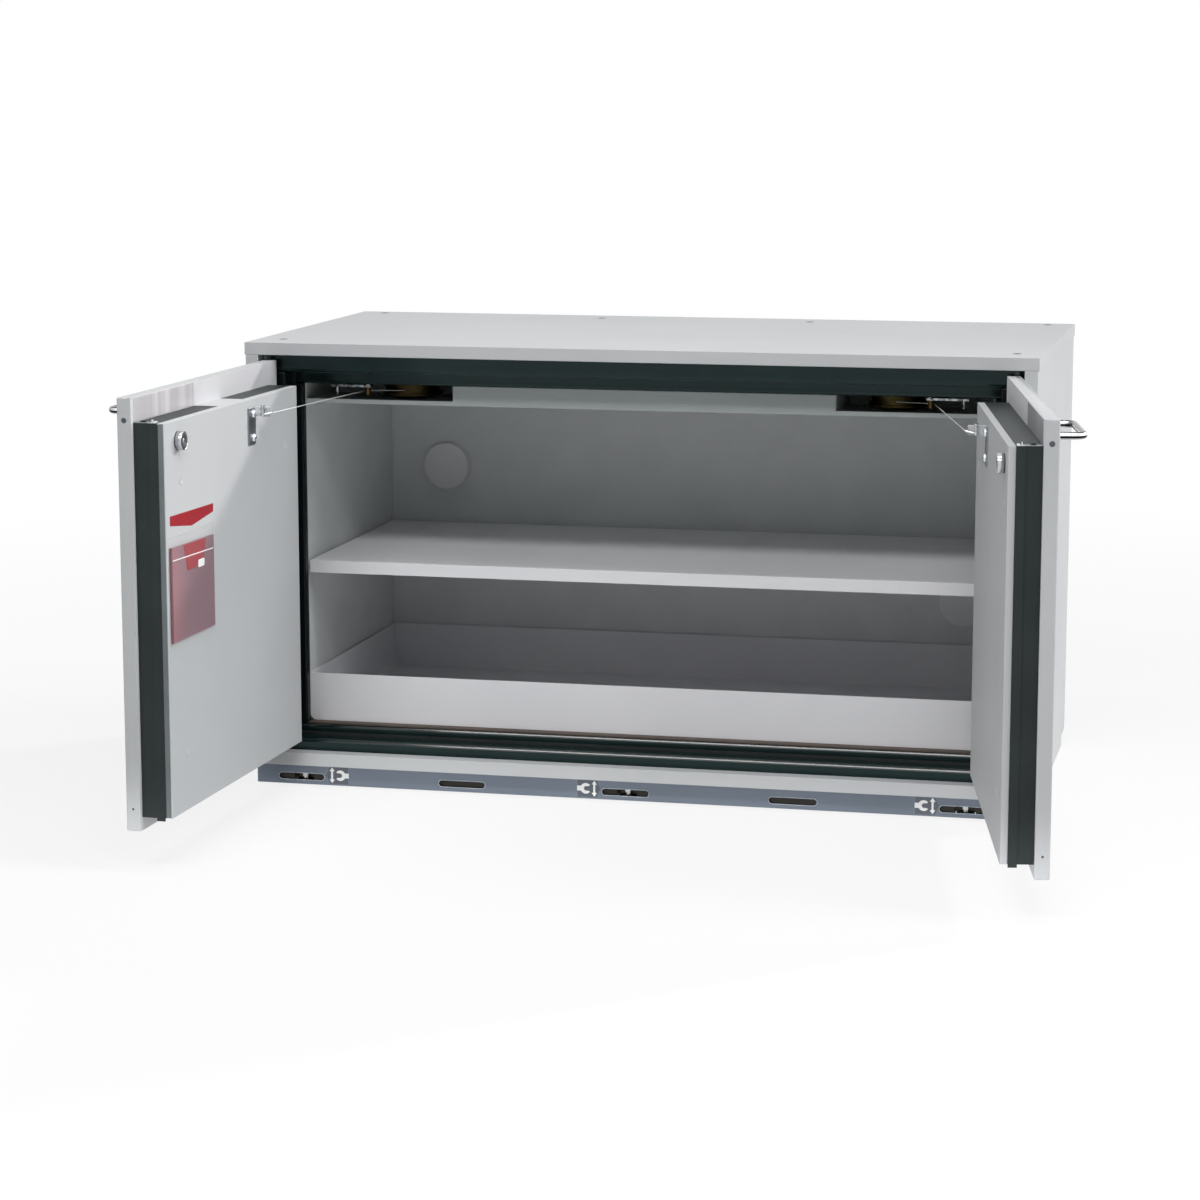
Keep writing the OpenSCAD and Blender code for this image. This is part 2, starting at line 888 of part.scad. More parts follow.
// Levers with a hanging pin, fixed under the plates by a post
module closer_levers() {
    post_d = 9;
    x0 = guide_x - lever_w / 2;
    y = guide_y + lever_w / 2;
    color(chrome)
        from_front()
            both_sides() {
                block([x0, x0 + lever_l], [guide_y - lever_w / 2, y], [lever_z, lever_z + lever_t]);
                upright(post_d, guide_x, guide_y, [lever_z, ceiling_z - plate_t]);
                upright(guide_d - 3, x0 + lever_l - 7, guide_y, [lever_z - hook_l, lever_z + eps]);
            }
}

// Brass bollards that turn the wires towards the reels
module wire_guides() {
    color("#b08d4a")
        from_front()
            both_sides()
                upright(guide_d, guide_x, guide_y, [guide_z - 5.5, lever_z]);
}

// Route of a closing wire on the left, from the door's swivel round the guide to the reel
function wire_route(angle) =
    let (
        clear = (guide_d + wire_d) / 2 + 0.3,
        wind_r = (reel_core_d + wire_d) / 2 + 0.3,
        turn = [-guide_x, guide_y, guide_z],
        start = ferrule_to + wire_gap * unit(ferrule_to - ferrule_from)
    )
        [
            door_point(start[0], start[1], start[2], angle),
            turn + clear * [-cos(14), sin(14), 0],
            turn + clear * [-cos(45), sin(45), 0],
            turn + clear * [-cos(80), sin(80), 0],
            [-reel_x, reel_y - wind_r, guide_z]
        ];

module left_wire() {
    color(steel)
        from_front()
            swept_bar(wire_route(left_open), wire_d);
}

module right_wire() {
    color(steel)
        mirror([1, 0, 0])
            from_front()
                swept_bar(wire_route(right_open), wire_d);
}

// Outer pan of a door, with holes for the bushes
module door_pan() {
    difference() {
        block([0, door_w], [0, pan_d], [door_z0, door_z1]);
        block([sheet_t, door_w - sheet_t], [sheet_t, pan_d + eps], [door_z0 + sheet_t, door_z1 - sheet_t]);
        upright(bush_d + 0.1, pivot_u, pivot_v, [door_z0 - eps, door_z1 + eps]);
        edge_hole(edge_plug_d + 0.1, door_z1 - edge_plug_drop);
        edge_hole(rivet_d + 0.1, door_z0 + edge_plug_drop);
    }
}

// A hole or a plug in the pan's free edge
module edge_hole(d, z, x = [-eps, eps]) {
    translate([door_w - sheet_t + x[0], pan_t / 2, z])
        rotate([0, 90, 0])
            cylinder(d = d, h = sheet_t + x[1] - x[0]);
}

module edge_plugs() {
    edge_hole(edge_plug_d, door_z1 - edge_plug_drop, [0, -0.3]);
    edge_hole(rivet_d, door_z0 + edge_plug_drop, [0, -0.3]);
}

// Shallow lid that closes the pan
module door_lid() {
    difference() {
        block([0, door_w], [pan_d, pan_t], [door_z0, door_z1]);
        block(
            [sheet_t, door_w - sheet_t],
            [pan_d - eps, pan_t - sheet_t],
            [door_z0 + sheet_t, door_z1 - sheet_t]
        );
    }
}

// Fire boards in the pan and in the plug
module door_boards() {
    bush_room = pivot_u + bush_d / 2 + 2;
    block(
        [bush_room, door_w - sheet_t - board_gap],
        [sheet_t, pan_t - sheet_t],
        [door_z0 + sheet_t + board_gap, door_z1 - sheet_t - board_gap]
    );
    block(
        [plug_u0 + edge_t, plug_u1 - edge_t],
        [pan_t, core_v],
        [plug_z0 + edge_t, plug_z1 - edge_t]
    );
}

// Dark strips round the plug: hinge side, free side with its swelling seal, foot and top
module door_edges(top_gaps) {
    v = [pan_t, core_v];
    bead_w = 11;
    bead_drop = 3.5;
    bead_gap = 0.1;
    bead_t = 2;
    block([plug_u0, plug_u0 + edge_t], v, [plug_z0, plug_z1]);
    block([plug_u1 - edge_t, plug_u1], v, [plug_z0, plug_z1]);
    block([plug_u1 + bead_gap, plug_u1 + bead_t], [core_v - bead_w, core_v], [plug_z0 - bead_drop, plug_z1]);
    block([plug_u0 + edge_t + joint_gap, plug_u1 - edge_t - joint_gap], v, [plug_z0, plug_z0 + edge_t]);
    for (g = [0:len(top_gaps) - 2])
        block([top_gaps[g][1] + joint_gap, top_gaps[g + 1][0] - joint_gap], v, [plug_z1 - edge_t, plug_z1]);
}

// Inner panel, a shallow pan over the plug
module inner_panel() {
    difference() {
        block([plug_u0, plug_u1], [core_v, face_v], [plug_z0, plug_z1]);
        block(
            [plug_u0 + sheet_t, plug_u1 - sheet_t],
            [core_v - eps, face_v - sheet_t],
            [plug_z0 + sheet_t, plug_z1 - sheet_t]
        );
    }
}

// Bushes for the pivot pins
module door_bushes() {
    for (z = [door_z0, door_z1 - bush_l])
        translate([pivot_u, pivot_v, z])
            difference() {
                cylinder(d = bush_d, h = bush_l);
                translate([0, 0, -eps])
                    cylinder(d = pin_d + 2 * run_gap, h = bush_l + 2 * eps);
            }
}

// Quarter bend of the handle's rod, from the leg to the grip
module rod_bend() {
    rotate_extrude(angle = 90)
        translate([handle_bend, 0])
            circle(d = handle_rod);
}

// Bail handle: two legs, two bends and a grip, with its outer leg at u1
module handle(u1) {
    leg_l = -handle_v - handle_bend;
    u0 = u1 - handle_span;
    for (u = [u0, u1])
        translate([u, 0, handle_z])
            rotate([90, 0, 0])
                cylinder(d = handle_rod, h = leg_l);
    translate([u0 + handle_bend, handle_v, handle_z])
        rotate([0, 90, 0])
            cylinder(d = handle_rod, h = handle_span - 2 * handle_bend);
    translate([u0 + handle_bend, handle_v + handle_bend, handle_z])
        rotate([0, 0, 180])
            rod_bend();
    translate([u1 - handle_bend, handle_v + handle_bend, handle_z])
        rotate([0, 0, 270])
            rod_bend();
}

// Round-headed screws of the wire bracket
module bracket_screws() {
    head_t = 3.5;
    for (z = [bracket_z1 - 9, bracket_z1 - bracket_h + 9])
        translate([bracket_in + bracket_t + 7, face_v + bracket_t, z])
            rotate([-90, 0, 0])
                cylinder(d = screw_head_d, h = head_t);
}

// Pot magnet: a cup with the magnet and a centre screw in it
module catch() {
    cup_wall = 2;
    recess = 1.2;
    translate([catch_u, face_v, catch_z])
        rotate([-90, 0, 0]) {
            difference() {
                cylinder(d = catch_d, h = catch_h);
                translate([0, 0, cup_wall])
                    cylinder(d = catch_d - 2 * cup_wall, h = catch_h);
            }
            translate([0, 0, cup_wall + 0.1])
                cylinder(d = catch_d - 2 * cup_wall - 0.4, h = catch_h - cup_wall - recess);
        }
}

// Angle bracket for the wire: a plate on the inner panel and a tab standing off it
module wire_bracket() {
    block(
        [bracket_in, bracket_in + bracket_w],
        [face_v, face_v + bracket_t],
        [bracket_z1 - bracket_h, bracket_z1]
    );
    difference() {
        block(
            [bracket_in, bracket_in + bracket_t],
            [face_v, face_v + tab_reach],
            [bracket_z1 - tab_h, bracket_z1]
        );
        translate([bracket_in - eps, swivel_v, swivel_z])
            rotate([0, 90, 0])
                cylinder(d = swivel_d + 2 * run_gap, h = bracket_t + 2 * eps);
    }
}

// Swivel in front of the tab: a bolt with its nut, an upright pin, its eye and the wire's ferrule
module wire_swivel() {
    nut = 7;
    pin = 3.2;
    back = bracket_in - 4;
    translate([back, swivel_v, swivel_z])
        rotate([0, 90, 0]) {
            cylinder(d = swivel_d, h = swivel_u - back);
            cylinder(d = nut, h = bracket_in - back - 0.2, $fn = 6);
        }
    upright(pin, swivel_u, swivel_v, [bracket_z1 - tab_h, bracket_z1 + 2]);
    upright(6, swivel_u, swivel_v, [bracket_z1 + 1, bracket_z1 + 2.5]);
    upright(8, swivel_u, swivel_v, [eye_z - 1.5, eye_z + 1.5]);
    strut(ferrule_from, ferrule_to, ferrule_d);
}

module left_door_pan() {
    color(paint)
        on_left_door()
            door_pan();
}

module right_door_pan() {
    color(paint)
        on_right_door()
            door_pan();
}

module left_door_lid() {
    color(paint)
        on_left_door()
            door_lid();
}

module right_door_lid() {
    color(paint)
        on_right_door()
            door_lid();
}

module left_door_boards() {
    color(board)
        on_left_door()
            door_boards();
}

module right_door_boards() {
    color(board)
        on_right_door()
            door_boards();
}

module left_door_edges() {
    color(paint_dark)
        on_left_door()
            door_edges([[0, plug_u0 + edge_t], top_split, [plug_u1 - edge_t, 0]]);
}

module right_door_edges() {
    color(paint_dark)
        on_right_door()
            door_edges([[0, plug_u0 + edge_t], [plug_u1 - edge_t, 0]]);
}

module left_inner_panel() {
    color(paint)
        on_left_door() {
            inner_panel();
            block(top_split, [pan_t, core_v + sheet_t], [plug_z1 - edge_t + sheet_t / 2, plug_z1]);
        }
}

module right_inner_panel() {
    color(paint)
        on_right_door()
            inner_panel();
}

module left_door_bushes() {
    color("#e6e2d8")
        on_left_door()
            door_bushes();
}

module right_door_bushes() {
    color("#e6e2d8")
        on_right_door()
            door_bushes();
}

module left_handle() {
    color(chrome)
        on_left_door()
            handle(door_w - left_handle_in);
}

module right_handle() {
    color(chrome)
        on_right_door()
            handle(door_w - handle_in);
}

module left_bracket_screws() {
    color(chrome)
        on_left_door()
            bracket_screws();
}

module right_bracket_screws() {
    color(chrome)
        on_right_door()
            bracket_screws();
}

module left_catch() {
    color(chrome)
        on_left_door()
            catch();
}

module right_catch() {
    color(chrome)
        on_right_door()
            catch();
}

module left_wire_bracket() {
    color(zinc)
        on_left_door()
            wire_bracket();
}

module right_wire_bracket() {
    color(zinc)
        on_right_door()
            wire_bracket();
}

module left_wire_swivel() {
    color(zinc)
        on_left_door()
            wire_swivel();
}

module right_wire_swivel() {
    color(zinc)
        on_right_door()
            wire_swivel();
}

module left_edge_plugs() {
    color("#4a4e50")
        on_left_door()
            edge_plugs();
}

module right_edge_plugs() {
    color("#4a4e50")
        on_right_door()
            edge_plugs();
}

// Clear pocket on the left inner panel, open at its top
module document_pocket() {
    color("#c9a9b0")
        on_left_door()
            difference() {
                block([pocket_u0, pocket_u1], [face_v, face_v + pocket_t], [pocket_z0, pocket_z0 + pocket_h]);
                block(
                    [pocket_u0 + film_t, pocket_u1 - film_t],
                    [face_v + film_t, face_v + pocket_t - film_t],
                    [pocket_z0 + film_t, pocket_z0 + pocket_h + eps]
                );
            }
}

// Booklet in the pocket
module booklet() {
    play = 0.3;
    margin = 2;
    color("#9a7480")
        on_left_door()
            block(
                [pocket_u0 + film_t + margin, pocket_u1 - film_t - margin],
                [face_v + film_t + play, face_v + pocket_t - film_t - play],
                [pocket_z0 + film_t, pocket_z0 + pocket_h - 13]
            );
}

top_panel();
left_side_panel();
right_side_panel();
rear_panel();
base_panel();
kick_rail();
centre_runner();
foot_blocks();
top_plugs();
wall_boards();
frame_rails();
frame_jambs();
frame_seals();
floor_lining();
wall_linings();
valance();
shelf_studs();
duct_sleeves();
door_pivots();
closer_housings();
closer_plates();
closer_levers();
wire_guides();
left_reel();
right_reel();
left_wire();
right_wire();
shelf();
sump_tray();
front_left_foot();
front_centre_foot();
front_right_foot();
rear_left_foot();
rear_right_foot();
left_door_pan();
left_door_lid();
left_door_boards();
left_door_edges();
left_inner_panel();
left_door_bushes();
left_handle();
left_catch();
left_wire_bracket();
left_wire_swivel();
left_bracket_screws();
left_edge_plugs();
document_pocket();
booklet();
right_door_pan();
right_door_lid();
right_door_boards();
right_door_edges();
right_inner_panel();
right_door_bushes();
right_handle();
right_catch();
right_wire_bracket();
right_wire_swivel();
right_bracket_screws();
right_edge_plugs();
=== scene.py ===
# %% [markdown]
# # A low fire cabinet with open doors
# The solids of the cabinet come in as a fixed frame, in metres, with the floor at z = 0. This script dresses
# them: it sets the camera and the light, makes the finishes, folds the sheet metal's edges round, and adds
# the small pieces that the solids leave out.

# %% The frame
import math

import bmesh
import bpy
from mathutils import Matrix, Vector


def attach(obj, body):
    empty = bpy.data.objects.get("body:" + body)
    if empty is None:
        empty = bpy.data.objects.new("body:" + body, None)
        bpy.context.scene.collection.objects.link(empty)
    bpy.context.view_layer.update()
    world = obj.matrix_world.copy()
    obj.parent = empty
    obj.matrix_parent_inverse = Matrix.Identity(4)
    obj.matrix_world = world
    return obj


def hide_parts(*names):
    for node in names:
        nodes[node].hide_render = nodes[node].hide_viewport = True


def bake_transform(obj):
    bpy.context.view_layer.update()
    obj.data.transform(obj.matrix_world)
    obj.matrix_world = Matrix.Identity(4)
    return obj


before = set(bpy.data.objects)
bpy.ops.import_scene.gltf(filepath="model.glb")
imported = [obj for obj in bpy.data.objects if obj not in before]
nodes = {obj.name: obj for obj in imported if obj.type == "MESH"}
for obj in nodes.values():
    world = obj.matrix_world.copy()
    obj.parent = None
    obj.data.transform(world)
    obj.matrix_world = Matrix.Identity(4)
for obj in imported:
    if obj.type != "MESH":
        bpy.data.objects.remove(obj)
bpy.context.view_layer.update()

scene = bpy.context.scene

# %% [markdown]
# ## Camera
# The photograph was taken from the front right, a little above the cabinet, with a long lens. A camera
# could be placed by eye, but here its place, its two angles and its focal length were worked out from the
# cabinet's straight edges, so the render lies over the photograph. A camera looks along its own -Z, so the
# view direction is turned into a rotation.

# %% Camera
YAW = 0.224612
PITCH = 0.166664
view_direction = Vector((
    -math.sin(YAW) * math.cos(PITCH),
    math.cos(YAW) * math.cos(PITCH),
    -math.sin(PITCH),
))
camera = bpy.data.objects.new("camera", bpy.data.cameras.new("camera"))
camera.data.sensor_fit = "HORIZONTAL"
camera.data.sensor_width = 36
camera.data.lens = 96.469
camera.location = (0.92803, -4.537476, 1.018826)
camera.rotation_euler = view_direction.to_track_quat("-Z", "Y").to_euler()
scene.collection.objects.link(camera)
scene.camera = camera
print("camera:", round(camera.data.lens, 1), "mm lens")

# %% [markdown]
# ## Node helper and colours
# Every finish below is a small graph of shader nodes. Written out socket by socket, a graph takes many
# lines, so one function adds a node, sets its values and links its inputs. Another turns the hex colours
# that people write into the linear numbers that a shader works with.

# %% Node helper and colours
def linear(hex_colour):
    """The linear colour of an sRGB hex value such as #C8CACA."""
    parts = [int(hex_colour[i : i + 2], 16) / 255 for i in (1, 3, 5)]
    return [c / 12.92 if c <= 0.04045 else ((c + 0.055) / 1.055) ** 2.4 for c in parts] + [1.0]


def add(tree, kind, inputs=None, **settings):
    """Adds a node: settings are its properties, and inputs its values or the sockets linked to them."""
    node = tree.nodes.new("ShaderNode" + kind)
    for name, value in settings.items():
        setattr(node, name, value)
    for socket, value in (inputs or {}).items():
        if isinstance(value, bpy.types.NodeSocket):
            tree.links.new(value, node.inputs[socket])
        else:
            node.inputs[socket].default_value = value
    return node


print("helpers ready, mid grey is", round(linear("#808080")[0], 3), "linear")

# %% [markdown]
# ## What the finishes share
# No real surface has one even colour or is quite flat. Nearly every finish below drifts between two close
# tones and has a fine unevenness, so both are made here once. Image textures could do it too, but noise has
# no seams and needs no unwrapping. A pattern's scale comes from its real size in millimetres.

# %% What the finishes share
MIX_A = 6  # a Mix node has sockets for each kind of value, and these three are its colours
MIX_B = 7
MIX_RESULT = 2


def per_mm(size):
    """Texture scale at which one feature is about size millimetres wide."""
    return 1000 / size


def new_finish(name, **values):
    """A material with its tree, main shader and object coordinates; values go straight on the shader."""
    finish = bpy.data.materials.new(name)
    finish.use_nodes = True
    tree = finish.node_tree
    shader = tree.nodes["Principled BSDF"]
    for socket, value in values.items():
        shader.inputs[socket.replace("_", " ")].default_value = value
    place = add(tree, "TexCoord").outputs["Object"]
    return finish, tree, shader, place


def two_tones(tree, place, shader, first, second, size, detail=3.0, contrast=(0.35, 0.65)):
    """Lets the base colour drift between two close tones over patches of the given size."""
    low, high = contrast
    cloud = add(tree, "TexNoise", {"Vector": place, "Scale": per_mm(size), "Detail": detail})
    spread = add(tree, "MapRange", {"Value": cloud.outputs["Fac"], "From Min": low, "From Max": high})
    tones = {0: spread.outputs[0], MIX_A: linear(first), MIX_B: linear(second)}
    mix = add(tree, "Mix", tones, data_type="RGBA")
    tree.links.new(mix.outputs[MIX_RESULT], shader.inputs["Base Color"])


def uneven(tree, place, shader, width_mm, depth_mm, strength, detail=3.0, grit=0.5):
    """Raises soft bumps of a real width and depth; grit is how strong the finer bumps among them are."""
    pattern = {"Vector": place, "Scale": per_mm(width_mm), "Detail": detail, "Roughness": grit}
    bumps = add(tree, "TexNoise", pattern).outputs["Fac"]
    raised = add(tree, "Bump", {"Height": bumps, "Distance": depth_mm / 1000, "Strength": strength})
    tree.links.new(raised.outputs["Normal"], shader.inputs["Normal"])


print("a pattern 2.5 mm wide has scale", per_mm(2.5))

# %% [markdown]
# ## Floor and background
# The cabinet stands on a white studio floor in a white room. More light would turn both white, but it would
# wash the cabinet out as well. The Light Path node tells which rays come from the camera, from a mirror or
# through glass. To these, floor and background show near white, while all other rays meet matt paint and a
# dim sky. Near the cabinet the floor stays partly matt, so the shadow stays. Further out it fades to white,
# so no horizon shows.

# %% Floor paint
FADE_START = 0.7  # metres from the middle of the floor
FADE_END = 3.2
NEAR_WHITE = 0.8  # how much of the white shows near the cabinet


def seen_rays(tree):
    """A socket that is 1 for rays from the camera, from a mirror or through glass, and 0 for all others."""
    path = add(tree, "LightPath")
    by_way = {0: path.outputs["Is Glossy Ray"], 1: path.outputs["Is Transmission Ray"]}
    mirrored = add(tree, "Math", by_way, operation="MAXIMUM")
    straight = {0: path.outputs["Is Camera Ray"], 1: mirrored.outputs[0]}
    return add(tree, "Math", straight, operation="MAXIMUM").outputs[0]


floor_paint = bpy.data.materials.new("white studio floor")
floor_paint.use_nodes = True
tree = floor_paint.node_tree
tree.nodes.clear()
seen = seen_rays(tree)
matt = add(tree, "BsdfDiffuse", {"Color": linear("#F3F3F3")})
glow = add(tree, "Emission", {"Color": linear("#FFFFFF"), "Strength": 1.0})
away = add(tree, "VectorMath", {0: add(tree, "TexCoord").outputs["Object"]}, operation="LENGTH")
span = {"Value": away.outputs["Value"], "From Min": FADE_START, "From Max": FADE_END, "To Min": NEAR_WHITE}
fade = add(tree, "MapRange", span, interpolation_type="SMOOTHSTEP")
pale = add(tree, "MixShader", {0: fade.outputs[0], 1: matt.outputs[0], 2: glow.outputs[0]})
floor_mix = add(tree, "MixShader", {0: seen, 1: matt.outputs[0], 2: pale.outputs[0]})
add(tree, "OutputMaterial", {"Surface": floor_mix.outputs[0]})
print("floor paint, fading to white from", FADE_START, "to", FADE_END, "m")

# %% Floor
FLOOR_CORNERS = [(-30, -30, 0), (30, -30, 0), (30, 30, 0), (-30, 30, 0)]
FLOOR_DROP = 0.0005  # keeps the floor clear of the feet's undersides
floor_mesh = bpy.data.meshes.new("studio_floor")
floor_mesh.from_pydata(FLOOR_CORNERS, [], [(0, 1, 2, 3)])
floor_mesh.materials.append(floor_paint)
studio_floor = bpy.data.objects.new("studio_floor", floor_mesh)
studio_floor.location.z = -FLOOR_DROP
scene.collection.objects.link(studio_floor)
print("floor of", FLOOR_CORNERS[2][0] * 2, "m")

# %% Background
world = bpy.data.worlds.new("white studio")
scene.world = world
world.use_nodes = True
tree = world.node_tree
tree.nodes.clear()
seen = seen_rays(tree)
sky = add(tree, "Background", {"Color": linear("#F8FCFF"), "Strength": 0.11})
white = add(tree, "Background", {"Color": linear("#FFFFFF"), "Strength": 1.0})
world_mix = add(tree, "MixShader", {0: seen, 1: sky.outputs[0], 2: white.outputs[0]})
add(tree, "OutputWorld", {"Surface": world_mix.outputs[0]})
print("white background over a dim sky")

# %% [markdown]
# ## Light
# A key light from behind on the right draws the slanting shade on the left door. A broad light from the
# right and a softbox high in front fill the rest, so the frame's head shades the inside. A narrow strip
# above draws thin highlights along glossy edges, and a low lamp lifts the plinth. Suns light the whole
# cabinet evenly, so they serve for the two main directions, and area lamps serve where the light should
# stay near or show in gloss. The Standard view transform shows colours about as they are written.

# %% Light
ROSY = (1, 0.965, 0.965)
COOL = (0.97, 0.985, 1)


def lamp(name, kind, energy, towards, place=(0, 0, 3), **settings):
    """A lamp of a kind, shining along a direction."""
    light = bpy.data.lights.new(name, kind)
    light.energy = energy
    for key, value in settings.items():
        setattr(light, key, value)
    holder = bpy.data.objects.new(name, light)
    holder.location = place
    holder.rotation_euler = Vector(towards).to_track_quat("-Z", "Y").to_euler()
    scene.collection.objects.link(holder)


def softbox(name, energy, towards, place, width, depth, **settings):
    """An area lamp of a width and depth in metres."""
    lamp(name, "AREA", energy, towards, place, shape="RECTANGLE", size=width, size_y=depth, **settings)


lamp("key light", "SUN", 1.45, (-1.0, -1.0, -0.6), angle=math.radians(4), color=ROSY)
lamp("side light", "SUN", 1.52, (-1, 0.03, -0.66), angle=math.radians(36), color=COOL)
softbox("front softbox", 58, (0, 1, -0.93), (0, -2.85, 2.95), 3.0, 0.6)
softbox("top strip", 22, (0, 0.15, -1), (0.2, -0.9, 2.8), 2.6, 0.2)
softbox("low fill", 0.34, (0, 1, -0.125), (0, -1.95, 0.18), 1.7, 0.06, spread=math.radians(10))
scene.view_settings.view_transform = "Standard"
print("two suns and three softboxes")

# %% [markdown]
# ## Powder-coated sheet steel
# Most of the cabinet is folded sheet steel, sprayed with powder that melts to an even, slightly wavy skin.
# The eye gets a satin-matt light grey with a very fine orange peel. The peel could be real bumps in the
# mesh, but they are far too small for that, so it is a bump pattern. It is about 1 mm wide on the real
# thing, and is drawn at 2.5 mm so that it shows at this distance. Where hands rub the coat it gets a little
# glossier.

# %% Powder-coated sheet steel
DRIFT_MM = 260
PEEL_MM = 2.5
HANDLED_MM = 45


def powder_coat(name, tone, darker, roughness=0.58):
    """Powder coat in a tone that drifts a little to a darker one."""
    finish, tree, shader, place = new_finish(name, IOR=1.5, Roughness=roughness, Specular_IOR_Level=0.3)
    two_tones(tree, place, shader, tone, darker, DRIFT_MM)
    uneven(tree, place, shader, PEEL_MM, depth_mm=0.02, strength=0.5, detail=2.0, grit=0.45)
    handled = add(tree, "TexNoise", {"Vector": place, "Scale": per_mm(HANDLED_MM), "Detail": 4.0})
    shine = {"Value": handled.outputs["Fac"], "To Min": roughness - 0.05, "To Max": roughness + 0.07}
    gloss = add(tree, "MapRange", shine)
    tree.links.new(gloss.outputs[0], shader.inputs["Roughness"])
    return finish


body_coat = powder_coat("light grey powder coat", "#BDBFC0", "#B9BBBD")
# painted light: the lids' coat is paler than the door's, against the shade above the plug
lid_painted_light_coat = powder_coat("pale door lid coat", "#D3D3D5", "#CECED1", 0.45)
tray_coat = powder_coat("pale grey powder coat", "#E6E6E8", "#E0E0E3")
plinth_coat = powder_coat("blue-grey powder coat", "#77808D", "#707985", 0.5)
valance_coat = powder_coat("grey-green powder coat", "#A9B0AF", "#A3AAA9")
print("five powder coats")

# %% [markdown]
# ## Dark frame, seals and boards
# The frame round the opening is a hard fire board under a dark green-grey film with a faint grain. The
# strips on the doors' edges are extruded plastic, so fine lines run along them. The seals are rubbery and
# duller. The fire boards themselves are pale gypsum with paper fibres, and the linings inside are smooth.
# All of these are two close tones with a grain, so one function makes them. Their grain is finer than a
# millimetre, and is drawn at 1 to 3 mm so that it shows.

# %% Dark frame, seals and boards
TONE_PATCH_MM = 60
UPRIGHT_LINES = (1, 1, 0.02)  # draws a grain out along z


def grained(name, tone, second, grain_mm, depth_mm, stretch=(1, 1, 1), **values):
    """A finish with a grain of the given width, stretched along the axes that have a small factor."""
    finish, tree, shader, place = new_finish(name, **values)
    two_tones(tree, place, shader, tone, second, TONE_PATCH_MM, detail=5.0)
    drawn_out = add(tree, "Mapping", {"Vector": place, "Scale": stretch}).outputs[0]
    uneven(tree, drawn_out, shader, grain_mm, depth_mm, strength=0.6)
    return finish


frame_film = grained(
    "dark filmed fire board", "#142222", "#101C1C", 1.8, 0.01,
    Roughness=0.14, Specular_IOR_Level=0.3, Specular_Tint=linear("#DAF9F9"),
)
jamb_film = grained(
    "dark filmed fire board, upright", "#0C1414", "#091010", 1.8, 0.01,
    Roughness=0.3, Specular_IOR_Level=0.12,
)
edge_plastic = grained(
    "extruded edge strip", "#252C2C", "#1F2626", 2.0, 0.04, UPRIGHT_LINES,
    Roughness=0.5, Specular_IOR_Level=0.25,
)
seal_rubber = grained(
    "swelling seal strip", "#1D2222", "#171B1B", 1.5, 0.05, Roughness=0.6, Specular_IOR_Level=0.25
)
gypsum = grained("gypsum fire board", "#D9D4C8", "#CFC9BB", 3.0, 0.05, Roughness=0.85)
melamine = grained("melamine lining", "#D6D9D9", "#D0D3D3", 1.6, 0.015, Roughness=0.45)
brown_lining = grained("brown lining sheet", "#4C4038", "#42372F", 2.0, 0.02, Roughness=0.6)
print("three dark boards and strips, a seal, a fire board and two linings")

# %% [markdown]
# ## Plastics and dull steel
# Caps, plugs and bushes are moulded plastics with a fine matt skin from the mould. The closers hang on
# blackened steel plates in steel boxes. The plates' near-black is partly painted shade, for the dark inside
# the boxes, and the boxes' pale grey is painted light that lifts it again. Paint and oxide hide the metal
# there, so these aren't metallic, and the same grained finish serves.

# %% Plastics and dull steel
dark_abs = grained(
    "dark grey ABS", "#5A5D5F", "#525557", 1.2, 0.02, Roughness=0.7, IOR=1.54, Specular_IOR_Level=0.2
)
plug_plastic = grained(
    "black polyethylene plug", "#1E2021", "#181A1B", 1.2, 0.02, Roughness=0.75, Specular_IOR_Level=0.1
)
nylon = grained("natural nylon", "#E2DDD0", "#D8D2C4", 1.5, 0.02, Roughness=0.5, IOR=1.53)
# partly painted shade: the closer plates' near-black also stands for the dark inside the boxes
black_steel_and_shade = grained(
    "blackened steel", "#343D3D", "#2C3434", 2.0, 0.02, Roughness=0.5, Specular_IOR_Level=0.3
)
# painted light: the boxes' pale grey lifts the shade inside them
housing_painted_light = grained(
    "grey painted_light steel", "#D2D8D5", "#C8CECB", 3.0, 0.02, Roughness=0.55, Specular_IOR_Level=0.3
)
print("three plastics and two coated steels")

# %% [markdown]
# ## Metals
# Small parts are zinc-plated steel, which is bluish with a soft crystal pattern, and polished steel. The
# closers' levers are steel whose colour swings between near white and near black from cell to cell: painted
# glints and dark reflections. The reels are zinc with a yellow passivation, whose colour runs from olive to
# brown, and the wire guides are turned brass. A metal takes its colour from its reflection, so these are
# fully metallic and keep the default IOR. The wire and the feet's spindles are so thin that a full metal
# would show only the dark round them, so they are pale and partly metallic instead. Crystals and scratches
# are finer on the real parts, and are drawn as coarse as they need to show.

# %% Metals
SCRATCH_MM = 0.9


def plated(name, tone, second, cell_mm, roughness, spread=0.04):
    """A plated metal whose tone and gloss change from crystal to crystal."""
    finish, tree, shader, place = new_finish(name, Metallic=1.0, Roughness=roughness)
    crystal = add(tree, "TexVoronoi", {"Vector": place, "Scale": per_mm(cell_mm), "Randomness": 1.0})
    shade = add(tree, "SeparateColor", {0: crystal.outputs["Color"]})
    tones = {0: shade.outputs[0], MIX_A: linear(tone), MIX_B: linear(second)}
    mix = add(tree, "Mix", tones, data_type="RGBA")
    tree.links.new(mix.outputs[MIX_RESULT], shader.inputs["Base Color"])
    shine = {"Value": shade.outputs[1], "To Min": roughness - spread, "To Max": roughness + spread}
    gloss = add(tree, "MapRange", shine)
    tree.links.new(gloss.outputs[0], shader.inputs["Roughness"])
    uneven(tree, place, shader, SCRATCH_MM, depth_mm=0.003, strength=0.3, detail=4.0)
    return finish


